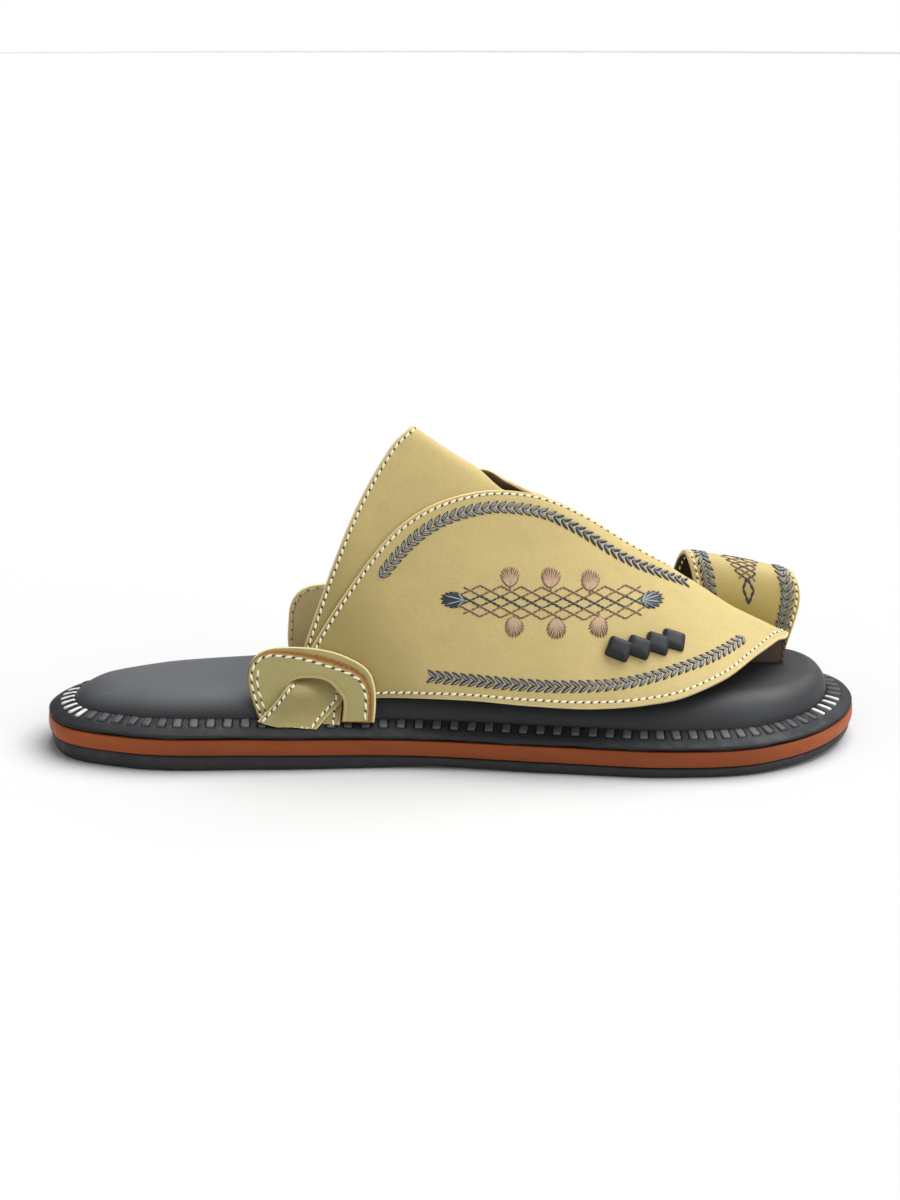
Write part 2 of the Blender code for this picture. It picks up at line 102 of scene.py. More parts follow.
def smooth(at, value, station):
    """Smooth curve through values at rising stations, held level beyond the ends."""
    slope = np.gradient(value, at)
    station = np.clip(np.asarray(station, float), at[0], at[-1])
    i = np.clip(np.searchsorted(at, station, side="right") - 1, 0, len(at) - 2)
    step = at[i + 1] - at[i]
    t = (station - at[i]) / step
    start = (1 + 2 * t) * (1 - t) ** 2 * value[i] + t * (1 - t) ** 2 * step * slope[i]
    end = t * t * (3 - 2 * t) * value[i + 1] + t * t * (t - 1) * step * slope[i + 1]
    return start + end


class Table:
    """Rows of sizes under named columns; the first column is the station."""

    def __init__(self, columns, *rows):
        self.columns = columns.split()
        self.rows = np.array(rows, float)

    def __len__(self):
        return len(self.rows)

    def column(self, name):
        return self.rows[:, self.columns.index(name)]

    def read(self, name, station):
        """Value of a column at a station."""
        return smooth(self.rows[:, 0], self.column(name), station)

    def at(self, name, place):
        """Value of a column at a place counted in rows."""
        return smooth(np.arange(len(self.rows)), self.column(name), place)


# Edge of the sole, from the heel end along the outer side to the toe and back along the inner side
OUTLINE = Table(
    "x y",
    (1.5, 0.0), (9.2, -21.5), (33.0, -33.5), (80.0, -35.5), (132.0, -33.5), (180.0, -39.0),
    (220.0, -43.0), (251.0, -38.5), (273.0, -24.0), (285.0, -6.0), (289.0, 13.0),
    (286.5, 28.5), (278.0, 41.0), (255.0, 49.0), (215.0, 51.5), (175.0, 44.5),
    (125.0, 36.0), (80.0, 35.0), (33.0, 33.5), (9.2, 21.5),
)
TOE_ROW = 10  # the row of the outline at the toe's end
THICKNESS = Table(
    "x outsole midsole crown shoulder",
    (0.0, 5.6, 6.0, 5.5, 30.0),
    (40.0, 5.5, 6.0, 8.8, 24.0),
    (85.0, 5.2, 5.9, 11.6, 16.0),
    (135.0, 4.4, 5.8, 11.4, 14.0),
    (210.0, 3.6, 6.0, 11.0, 13.0),
    (255.0, 3.3, 5.8, 9.9, 9.0),
    (290.0, 3.0, 5.4, 8.8, 6.0),
)
# Side profiles of the layers: distance in from the edge, and height as a share of the layer
OUTSOLE_SIDE = Table("inset share", (3.4, 0.0), (1.8, 0.06), (1.1, 0.30), (0.9, 0.8), (1.3, 1.0))
MIDSOLE_SIDE = Table("inset share", (1.2, 0.0), (0.3, 0.10), (0.0, 0.5), (0.3, 0.90), (1.1, 1.0))
# Sloping rim of the insole: distance in from the edge, and rise in millimetres
RIM = Table(
    "inset rise",
    (0.9, 0.0), (0.3, 0.4), (0.6, 1.1), (1.6, 1.7), (5.0, 3.2), (8.4, 4.3), (9.6, 4.0),
)

# Sections of the last: outer foot line, ridge, inner foot line and how round the ridge fold is
LAST = Table(
    "x lateral ridge_y ridge_z medial fold",
    (60.0, -17.0, 2.0, 151.0, 17.0, 5.0),
    (90.0, -20.5, 2.5, 135.0, 20.5, 5.0),
    (120.0, -22.8, 3.0, 118.0, 24.0, 5.0),
    (150.0, -31.0, 3.5, 97.6, 33.0, 5.0),
    (165.0, -34.1, 3.8, 89.6, 36.6, 5.0),
    (180.0, -36.5, 4.0, 83.2, 39.0, 5.0),
    (210.0, -38.0, 5.0, 65.0, 36.0, 4.0),
    (230.0, -36.5, 6.5, 52.0, 20.0, 2.6),
    (250.0, -32.0, 7.6, 41.5, 11.6, 1.3),
    (270.0, -25.0, 8.4, 33.5, 11.4, 0.7),
    (290.0, -18.0, 9.0, 25.0, 11.4, 0.7),
)
# Flap edges on the last; wrap is -1 at the outer foot line, 0 on the ridge and 1 at the inner foot line
LEAF = Table(
    "upper_x upper_wrap lower_x lower_wrap",
    (91.0, -0.93, 111.0, -0.985),
    (98.0, -0.81, 120.0, -0.976),
    (110.0, -0.63, 134.0, -0.966),
    (128.0, -0.375, 152.0, -0.956),
    (147.5, -0.17, 172.0, -0.962),
    (167.0, -0.04, 193.0, -0.963),
    (187.0, -0.01, 211.0, -0.935),
    (205.0, -0.01, 225.0, -0.870),
    (218.0, 0.03, 239.0, -0.700),
    (228.0, 0.20, 251.0, -0.42),
    (235.0, 0.45, 259.5, -0.18),
    (239.5, 0.70, 264.4, 0.02),
    (243.0, 0.94, 264.0, 0.90),
)
INSTEP = Table(
    "upper_x upper_wrap lower_x lower_wrap",
    (90.5, -0.92, 108.0, -0.92),
    (96.9, -0.757, 121.0, -0.74),
    (104.7, -0.556, 136.0, -0.54),
    (111.2, -0.399, 149.0, -0.37),
    (117.5, -0.263, 160.0, -0.22),
    (123.8, -0.132, 166.0, -0.10),
    (129.8, 0.0, 169.0, 0.0),
    (126.5, 0.132, 166.0, 0.10),
    (121.5, 0.263, 161.0, 0.22),
    (116.5, 0.399, 152.0, 0.37),
    (111.2, 0.556, 141.0, 0.54),
    (105.0, 0.757, 128.0, 0.74),
    (101.0, 0.92, 118.0, 0.92),
)
MEDIAL = Table(
    "upper_x upper_wrap lower_x lower_wrap",
    (101.0, 0.93, 121.0, 0.965),
    (108.0, 0.80, 130.0, 0.937),
    (119.0, 0.61, 142.0, 0.93),
    (133.0, 0.36, 158.0, 0.93),
    (147.0, 0.14, 174.0, 0.93),
    (160.0, 0.03, 189.0, 0.91),
    (174.0, -0.02, 203.0, 0.83),
    (190.0, -0.10, 214.0, 0.66),
    (205.0, -0.12, 222.0, 0.42),
    (217.0, -0.12, 227.0, 0.16),
)
# Ear seen from the side, from its rear foot to its front foot; reach is how far its back layer stands out
EAR = Table(
    "outer_x outer_z inner_x inner_z reach",
    (79.8, 13.2, 86.4, 13.2, 0.0),
    (76.8, 21.5, 87.6, 20.5, 0.0),
    (75.3, 28.2, 89.0, 25.2, 0.0),
    (76.3, 33.9, 90.4, 27.6, 0.3),
    (80.3, 37.2, 92.4, 28.7, 1.0),
    (87.0, 37.6, 94.9, 29.0, 2.4),
    (96.5, 36.3, 98.9, 28.8, 3.2),
    (107.4, 33.1, 102.8, 27.4, 3.6),
    (114.1, 29.9, 106.1, 24.0, 3.0),
    (117.0, 25.4, 107.7, 21.5, 2.1),
    (117.6, 20.1, 107.7, 18.3, 1.8),
    (117.3, 14.4, 107.2, 14.4, 1.6),
)
# Strap tails seen from the side, from behind the ear down to the sole; low and high are their two faces
# above the last, flare is how far the rear edge swings out over the ear's rear foot and sag is how far
# the lower end bellies down
LEAF_TAIL = Table(
    "rear_x rear_z front_x front_z low high flare sag",
    (94.0, 32.6, 107.4, 31.0, 2.0, 2.9, 0.0, 0.0),
    (91.6, 29.2, 107.4, 26.6, 2.2, 3.3, 0.4, 0.0),
    (89.0, 26.2, 107.2, 21.6, 2.8, 4.8, 4.6, 0.0),
    (85.1, 21.0, 103.8, 17.8, 3.6, 5.8, 3.9, 0.0),
    (82.2, 17.8, 101.0, 14.8, 5.2, 7.4, 2.4, 0.5),
    (79.4, 14.8, 98.8, 11.8, 7.6, 9.8, 1.2, 1.2),
)
INSTEP_TAIL = Table(
    "rear_x rear_z front_x front_z low high flare sag",
    (100.0, 31.0, 107.0, 30.0, 1.9, 2.8, 0.0, 0.0),
    (100.0, 27.4, 107.0, 26.2, 2.0, 3.2, 0.0, 0.0),
    (99.0, 21.5, 107.0, 20.4, 2.2, 3.6, 0.0, 0.0),
    (97.0, 13.0, 106.6, 12.4, 5.0, 7.0, 0.0, 0.0),
)
# The inner ear and its tails sit further forward and reach higher than the outer ones
MEDIAL_SHIFT, MEDIAL_STRETCH, EAR_FOOT = 10.6, 1.46, 16.0
MEDIAL_REAR, MEDIAL_REAR_ROWS = 1.8, (2.3, 0.8)

# Arches of the toe loop, from its rear rim to its front rim
LOOP = Table(
    "lateral_x lateral_y top_x top_y top_z medial_x medial_y lateral_sweep medial_sweep bulge",
    (243.0, 17.0, 229.4, 28.5, 61.4, 220.5, 42.6, 2.0, 0.6, 1.8),
    (252.5, 15.8, 249.0, 28.0, 58.4, 245.0, 40.6, 1.5, 0.8, 2.0),
    (261.5, 14.8, 268.2, 27.2, 54.4, 264.5, 37.4, 1.3, 1.3, 2.6),
)
LOOP_FOOT, LOOP_ROUNDNESS = 13.0, 2.9

# Creases of the straps on the last: both ends, depth of the trough (a ridge below zero) and half width;
# the span is the length in millimetres that one unit of wrap stands for
CREASES = Table(
    "x wrap to_x to_wrap depth width",
    (121.0, -0.80, 141.0, -0.60, 0.35, 4.5),
    (126.0, -0.88, 150.0, -0.76, 0.25, 3.5),
    (110.0, -0.63, 121.0, -0.38, 0.30, 3.5),
    (158.0, -0.33, 178.0, -0.25, 0.22, 3.5),
    (199.5, -0.73, 198.3, -0.81, 0.22, 2.0),
    (206.0, -0.40, 232.0, -0.33, -0.25, 5.0),
)
CREASE_SPAN = 62.0

STUDS = Table("x wrap", (200.8, -0.659), (207.6, -0.627), (214.0, -0.578), (219.6, -0.527))
STUD_HALF_LONG, STUD_HALF_SHORT, STUD_RISE, STUD_TURN = 4.1, 3.6, 2.3, -27.0
STUD_STEP = 0.35
STUD_EDGE, STUD_SUNK, STUD_CROWN = 0.15, 0.2, 0.14
STUD_CORNER_POWER, STUD_CROWN_POWER, STUD_CELLS = 8, 5, 25

# Embroidered bands on the leaf: places along each band's spine
UPPER_BAND = Table(
    "x wrap",
    (120.4, -0.583), (127.6, -0.475), (137.0, -0.351), (147.7, -0.244), (160.5, -0.153),
    (174.1, -0.108), (187.8, -0.116), (201.7, -0.138), (214.0, -0.113), (225.8, -0.055),
)
LOWER_BAND = Table(
    "x wrap",
    (137.3, -0.883), (151.3, -0.878), (168.1, -0.877), (184.6, -0.869), (201.4, -0.834),
    (214.8, -0.761), (228.8, -0.628), (238.0, -0.483), (246.2, -0.296),
)
# Embroidered net on the leaf: its middle, the fall of its axis, and its stitches along x and z
NET_X, NET_Z, NET_FALL = 178.8, 53.6, 0.05
NET_PITCH, NET_HALF_HEIGHT, NET_HALF_LENGTH = 7.0, 4.9, 31.5
NET_WAVES, NET_STITCHES = 6, 5
NET_TAPER, NET_SHOULDER, NET_CORE = 7.0, 0.67, 0.34
DOT_ABOVE = Table("along up", (-14.5, 8.0), (-0.7, 8.0), (12.5, 7.0))
DOT_BELOW = Table("along up", (-12.9, -7.8), (1.3, -7.8), (15.5, -7.2))
DOT_RADIUS, DOT_FLATNESS, DOT_RUFFLE, DOT_STEM, DOT_THREADS = 3.0, 0.94, 0.05, 1.4, 20
TASSEL_LENGTH, TASSEL_HALF, TASSEL_ROOT = 7.8, 2.5, 1.5
# Embroidery of the toe loop: rows and pointing of its bands, their span and longer arms, and its net's half
# length, half width and taper
LOOP_BANDS, LOOP_SPAN, LOOP_ARM = ((0.27, 1), (1.74, -1)), (0.06, 0.94), 1.12
LOOP_NET, LOOP_NET_WIDE, LOOP_NET_TAPER, LOOP_WAVES = 0.19, 0.36, 1.1, 4
PATH_POINTS = 300


# Properties


def length(name, description, default):
    return FloatProperty(name=name, description=description, default=default, unit="LENGTH")


def colour(name, description, default):
    return FloatVectorProperty(
        name=name, description=description, default=default, subtype="COLOR", min=0.0, max=1.0)


class SandalSizes(bpy.types.PropertyGroup):
    """Sizes of the leather and of the sewing."""

    leather: length("Leather", "Thickness of the straps", 0.002)
    seam_inset: length("Seam inset", "Edge stitching's distance from the edge", 0.0015)
    deep_inset: length("Deep inset", "Lower seam's distance from the edge", 0.0024)
    stitch_pitch: length("Stitch pitch", "Step of the edge stitching", 0.0027)
    stitch_length: length("Stitch length", "Length of one edge stitch", 0.0021)
    stitch_width: length("Stitch width", "Thickness of the edge thread", 0.0008)
    band_pitch: length("Band pitch", "Step of the embroidered bands", 0.0029)
    band_arm: length("Band arm", "Length of one arm of the embroidered bands", 0.0034)
    net_thread: length("Net thread", "Thickness of the thread in the net", 0.00055)
    thong_pitch: length("Thong pitch", "Step of the lacing round the rim", 0.0059)
    thong_width: length("Thong width", "Width of one pass of the lacing", 0.0027)
    thong_length: length("Thong length", "Length of one pass of the lacing", 0.0050)
    seed: IntProperty(name="Seed", description="Seed of the sewing's unevenness", default=7)


class SandalColours(bpy.types.PropertyGroup):
    """Colours of the sandal's finishes."""

    khaki: colour("Khaki", "Nubuck of the straps and the toe loop", (0.512, 0.402, 0.168))
    olive: colour("Olive", "Nubuck of the ears", (0.39, 0.334, 0.136))
    tail: colour("Tail", "Nubuck of the strap tails", (0.31, 0.262, 0.106))
    # Edge paint, also laid on the top faces next to the edges as a painted highlight
    edge: colour("Edge", "Painted cut edges of the straps", (0.70, 0.575, 0.29))
    core: colour("Core", "Raw middle layer of the ears", (0.29, 0.135, 0.042))
    lining: colour("Lining", "Lining of the straps", (0.115, 0.074, 0.050))
    # Much lighter than the ears' olive: painted light that makes up for the shade on the inner ear's inner
    # face
    ear_lining: colour("Ear lining", "Inner faces of the ears", (0.97, 0.77, 0.365))
    pad: colour("Pad", "Padded footbed", (0.0254, 0.0270, 0.0290))
    rim: colour("Rim", "Leather rim round the footbed", (0.012, 0.013, 0.015))
    band: colour("Band", "Midsole", (0.225, 0.049, 0.009))
    rubber: colour("Rubber", "Outsole", (0.0085, 0.0085, 0.0108))
    dark_thong: colour("Dark thong", "Lacing towards the heel and toe", (0.050, 0.051, 0.054))
    thong: colour("Thong", "Lacing round the rim", (0.080, 0.080, 0.080))
    pale_thong: colour("Pale thong", "Lacing at the heel and toe ends", (0.60, 0.60, 0.57))
    cream: colour("Cream", "Edge stitching", (0.88, 0.81, 0.62))
    # Dark marks that paint the shade inside the needle holes
    hole: colour("Hole", "Needle holes", (0.035, 0.026, 0.018))
    slate_thread: colour("Slate thread", "Dark thread of the bands", (0.030, 0.038, 0.053))
    silver_thread: colour("Silver thread", "Light thread of the bands", (0.50, 0.52, 0.53))
    rose_thread: colour("Rose thread", "Thread of the dots", (0.52, 0.355, 0.238))
    brown_thread: colour("Brown thread", "Thread of the net", (0.175, 0.104, 0.054))
    stud: colour("Stud", "Diamond studs", (0.0152, 0.0164, 0.0196))
    floor: colour("Floor", "Studio floor", (0.568, 0.568, 0.568))


def sizes():
    return bpy.context.scene.sandal_sizes


def colours():
    return bpy.context.scene.sandal_colours


# Sole shapes


def closed_curve(points, fine):
    """Smooth closed curve through a few points."""
    before, after = np.roll(points, 1, axis=0), np.roll(points, -1, axis=0)
    behind = np.linalg.norm(points - before, axis=1)[:, None]
    ahead = np.linalg.norm(after - points, axis=1)[:, None]
    tangent = (points - before) / behind * ahead + (after - points) / ahead * behind
    tangent /= behind + ahead
    t = np.linspace(0, 1, fine, endpoint=False)[None, :, None]
    leave = (tangent * ahead)[:, None]
    arrive = (np.roll(tangent, -1, axis=0) * ahead)[:, None]
    curve = (1 + 2 * t) * (1 - t) ** 2 * points[:, None] + t * (1 - t) ** 2 * leave
    curve = curve + t * t * (3 - 2 * t) * after[:, None] + t * t * (t - 1) * arrive
    return curve.reshape(-1, 2)


def path_run(path):
    """Distance walked along a path, at each of its points."""
    return np.concatenate([[0], np.cumsum(np.linalg.norm(np.diff(path, axis=0), axis=1))])


def even_steps(path, count):
    run = path_run(path)
    at = np.linspace(0, run[-1], count + 1)
    return np.column_stack([np.interp(at, run, path[:, i]) for i in range(path.shape[1])])


def sole_edge(per_side, fine=24):
    """The sole's edge from the heel end round the outer side, and the way inward at each place."""
    curve = closed_curve(OUTLINE.rows, fine)
    toe = TOE_ROW * fine
    outer = even_steps(curve[:toe + 1], per_side)
    inner = even_steps(np.vstack([curve[toe:], curve[:1]]), per_side)
    edge = np.vstack([outer[:-1], inner[:-1]])
    along = np.roll(edge, -1, axis=0) - np.roll(edge, 1, axis=0)
    inward = np.column_stack([-along[:, 1], along[:, 0]])
    return edge, inward / np.linalg.norm(inward, axis=1)[:, None]


EDGE = sole_edge(COARSE_STEPS)[0]
MIDDLE = np.array([(HEEL_END + TOE_END) / 2, (EDGE[:, 1].min() + EDGE[:, 1].max()) / 2, 0.0])


def edge_distance(x, y):
    """Shortest way from places on the sole to its edge."""
    step = np.roll(EDGE, -1, axis=0) - EDGE
    place = np.stack(np.broadcast_arrays(x, y), -1)[..., None, :]
    share = ((place - EDGE) * step).sum(-1) / (step ** 2).sum(-1)
    nearest = EDGE + np.clip(share, 0, 1)[..., None] * step
    return np.linalg.norm(place - nearest, axis=-1).min(-1)


def spring(x):
    return np.clip((np.asarray(x, float) - SPRING_START) / (TOE_END - SPRING_START), 0, 1) ** 2 * TOE_SPRING


def ground(x):
    """Height of the sole's underside: heel roll, arch and toe spring."""
    x = np.asarray(x, float)
    span = np.clip((x - ARCH_START) / (ARCH_END - ARCH_START), 0, 1)
    arch = ARCH_RISE * np.sin(math.pi * span) ** 2
    roll = np.clip(1 - (x - HEEL_END) / HEEL_ROLL_LENGTH, 0, 1) ** 2 * HEEL_ROLL
    return spring(x) + arch + roll


def outsole_top(x):
    return spring(x) + THICKNESS.read("outsole", x)


def midsole_top(x):
    return outsole_top(x) + GAP + THICKNESS.read("midsole", x)


def pad_rise(x, inset):
    """Height of the padded dome above the rim's groove."""
    share = np.clip((inset - PAD_INSET) / THICKNESS.read("shoulder", x), 0, 1)
    return THICKNESS.read("crown", x) * np.sqrt(1 - (1 - share) ** 2)


def insole_top(x, y, inset=None):
    inset = edge_distance(x, y) if inset is None else inset
    rim = np.interp(inset, RIM.column("inset")[1:], RIM.column("rise")[1:])
    return midsole_top(x) + GAP + rim + pad_rise(x, inset)


def footing(x, y):
    """Lowest height a strap may reach."""
    near = [insole_top(x, y + step) for step in (-FOOT_REACH, 0.0, FOOT_REACH)]
    return np.max(near, axis=0) + GAP


# Last shapes


def fade(value, start, end):
    share = np.clip((np.asarray(value, float) - start) / (end - start), 0, 1)
    return share * share * (3 - 2 * share)


def last_point(x, wrap):
    """A place on the last: a tent of two flanks; towards the toe the inner flank turns into a wall."""
    x, wrap = np.broadcast_arrays(np.asarray(x, float), np.asarray(wrap, float))
    ridge_y, fold = LAST.read("ridge_y", x), LAST.read("fold", x)
    run = np.where(wrap < 0, ridge_y - LAST.read("lateral", x), LAST.read("medial", x) - ridge_y)
    drop = LAST.read("ridge_z", x) - LAST_BASE
    out = wrap * np.sqrt(drop ** 2 + 2 * fold * drop)
    height = drop + fold - np.sqrt(fold ** 2 + out ** 2)
    wall = fade(x, WALL_START, WALL_END) * (wrap > 0)
    turn = np.clip(wrap, 0, 1) * math.pi / 2
    share = wrap * (1 - wall) + np.sin(turn) * wall
    height = height * (1 - wall) + drop * np.cos(turn) * wall
    return np.stack([x, ridge_y + share * run, LAST_BASE + height], -1)


def unit(vectors):
    return vectors / np.maximum(np.linalg.norm(vectors, axis=-1, keepdims=True), 1e-9)


def surface_normal(place, a, b):
    """Normal of a surface whose places are drawn by two numbers."""
    along = place(a + SMALL_STEP, b) - place(a - SMALL_STEP, b)
    across = place(a, b + SMALL_STEP) - place(a, b - SMALL_STEP)
    return unit(np.cross(along, across))


def turned_out(normals, out):
    """Normals turned round where they point against the way out."""
    return normals * np.where((normals * out).sum(-1) < 0, -1, 1)[..., None]


def last_normal(x, wrap):
    return surface_normal(last_point, x, wrap)


def crease_lift(x, wrap):
    """Rise of the straps at their creases: soft troughs, and ridges where the depth is below zero."""
    lift = 0.0
    for start_x, start_wrap, to_x, to_wrap, depth, width in CREASES.rows:
        way_x, way_up = to_x - start_x, (to_wrap - start_wrap) * CREASE_SPAN
        out_x, out_up = x - start_x, (wrap - start_wrap) * CREASE_SPAN
        along = np.clip((out_x * way_x + out_up * way_up) / (way_x ** 2 + way_up ** 2), 0, 1)
        away = np.hypot(out_x - along * way_x, out_up - along * way_up)
        lift = lift - depth * np.exp(-(away / width) ** 2)
    return lift


def on_last(x, wrap, offset):
    """A place raised off the creased last, and never sunk into the footbed."""
    raised = np.asarray(offset, float) + crease_lift(x, wrap)
    place = last_point(x, wrap) + last_normal(x, wrap) * raised[..., None]
    place[..., 2] = np.maximum(place[..., 2], footing(place[..., 0], place[..., 1]))
    return place


def wrap_at(x, height, side):
    """Wrap of the place at a height on one flank of the last; side is -1 outer, 1 inner."""
    fold, drop = LAST.read("fold", x), LAST.read("ridge_z", x) - LAST_BASE
    out = np.sqrt(np.maximum((drop + LAST_BASE + fold - height) ** 2 - fold ** 2, 0))
    return side * out / np.sqrt(drop ** 2 + 2 * fold * drop)


def leaf_offset(x, share=0.0):
    return LAYER * (1 - fade(x, *LEAF_DROP))


def instep_offset(x, share):
    return -INSTEP_SINK * fade(x, *INSTEP_DIP)


def medial_offset(x, share):
    lift = RIM_LIFT * fade(share, RIM_LIFT_SHARE, 0.0) * fade(x, *RIM_RISE) * fade(x, *RIM_FALL)
    return LAYER - (LAYER - UNDERLAP) * fade(x, *UNDERLAP_SPAN) + lift


def leaf_face(x, wrap, lift=0.0):
    """A place on the outer face of the leaf flap."""
    leather = sizes().leather / MM
    x, wrap = np.broadcast_arrays(np.asarray(x, float), np.asarray(wrap, float))
    return on_last(x, wrap, leaf_offset(x) + leather + lift)


def loop_point(place, share, lift):
    """A place on the toe loop; share runs from its outer foot to its inner foot."""
    angle = (share - 0.5) * math.pi
    lean = np.abs(np.sin(angle)) ** (2 / LOOP_ROUNDNESS)
    rise = np.abs(np.cos(angle)) ** (2 / LOOP_ROUNDNESS)
    inset = LOOP_WALL - lift
    row = {name: LOOP.at(name, place) for name in LOOP.columns}
    foot_x = np.where(angle < 0, row["lateral_x"], row["medial_x"])
    foot_y = np.where(angle < 0, row["lateral_y"] + inset, row["medial_y"] - inset)
    sweep = np.where(angle < 0, row["lateral_sweep"], row["medial_sweep"])
    bulge = np.where(angle < 0, row["bulge"] * np.sin(2 * angle) ** 2, 0.0)
    x = row["top_x"] + (foot_x - row["top_x"]) * (1 - rise) ** sweep + bulge
    y = row["top_y"] + (foot_y - row["top_y"]) * lean
    z = LOOP_FOOT + (row["top_z"] - inset - LOOP_FOOT) * rise
    return np.stack([x, y, np.maximum(z, footing(x, y))], -1)


# Meshes


def put(name, data):
    """A new object in the scene."""
    made = bpy.data.objects.new(name, data)
    bpy.context.scene.collection.objects.link(made)
    return made


def mesh_object(name, points, faces, surfaces, which=None, worn=None):
    """A closed mesh from points in millimetres, in the sandal's frame."""
    mesh = bpy.data.meshes.new(name)
    placed = (np.asarray(points, float) - MIDDLE) * MM
    mesh.from_pydata(placed.tolist(), [], [tuple(map(int, f)) for f in faces])
    for surface in surfaces:
        mesh.materials.append(surface)
    if which is not None:
        mesh.polygons.foreach_set("material_index", np.asarray(which, np.int32))
    if worn is not None:
        mesh.attributes.new("worn", "FLOAT", "POINT").data.foreach_set("value", np.asarray(worn, np.float32))
    shape = bmesh.new()
    shape.from_mesh(mesh)
    bmesh.ops.recalc_face_normals(shape, faces=shape.faces)
    shape.to_mesh(mesh)
    shape.free()
    mesh.shade_smooth()
    mesh.set_sharp_from_angle(angle=math.radians(SHARP_ANGLE))
    return put(name, mesh)


def stand_for(piece, node):
    """Ties a finished piece to the sandal's body and hides the solid it stands for."""
    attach(piece, "root")
    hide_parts(node)
    return piece


def strip_faces(first, second, closed=False):
    """Faces between two rows of point numbers."""
    ahead, other = np.roll(first, -1), np.roll(second, -1)
    faces = np.column_stack([first, ahead, other, second])
    return faces if closed else faces[:-1]


def grid_faces(cell):
    quads = np.stack([cell[:-1, :-1], cell[1:, :-1], cell[1:, 1:], cell[:-1, 1:]], -1)
    return quads.reshape(-1, 4)


def rung_grid(loop, columns, height):
    """Places straight across a closed loop, from the outer side to the inner side, with their heights."""
    half = len(loop) // 2
    outer, inner = loop[1:half, :2], loop[:half:-1, :2]
    share = ((1 - np.cos(np.linspace(0, math.pi, columns + 2)[1:-1])) / 2)[None, :, None]
    flat = outer[:, None] * (1 - share) + inner[:, None] * share
    return np.concatenate([flat, height(flat[..., 0], flat[..., 1])[..., None]], -1)


def capped(loops, columns, height):
    """Stacked loops, with the last loop closed by places straight across it."""
    count, half = len(loops[0]), len(loops[0]) // 2
    points = np.vstack(loops)
    number = np.arange(len(points)).reshape(len(loops), count)
    faces = [face for a, b in zip(number, number[1:]) for face in strip_faces(a, b, closed=True)]
    inside = rung_grid(loops[-1], columns, height)
    inner = np.arange(inside[..., 0].size).reshape(inside.shape[:2]) + len(points)
    points = np.vstack([points, inside.reshape(-1, 3)])
    rim = number[-1]
    rungs = np.column_stack([rim[1:half], inner, rim[:half:-1]])
    faces += list(grid_faces(rungs))
    faces += [(rim[0], a, b) for a, b in zip(rungs[0], rungs[0][1:])]
    faces += [(rim[half], b, a) for a, b in zip(rungs[-1], rungs[-1][1:])]
    return points, faces


def closed_stack(loops, columns, height, first_columns, first_height):
    """Stacked loops closed at both ends, and how many points come before those of the first loop's cap."""
    points, faces = capped(loops, columns, height)
    cap, cap_faces = capped(loops[:1], first_columns, first_height)
    count, before = len(loops[0]), len(points)
    number = np.concatenate([np.arange(count), np.arange(len(cap) - count) + before])
    faces = list(faces) + [tuple(number[list(face)]) for face in cap_faces]
    return np.vstack([points, cap[count:]]), faces, before


def closed_faces(rows, columns):
    """Upper faces, lower faces and rim of a closed sheet whose lower points follow its upper points."""
    cell = np.arange(rows * columns).reshape(rows, columns)
    border = np.concatenate([cell[0, :-1], cell[:-1, -1], cell[-1, :0:-1], cell[:0:-1, 0]])
    upper = grid_faces(cell)
    return upper, upper[:, ::-1] + cell.size, strip_faces(border, border + cell.size, closed=True)


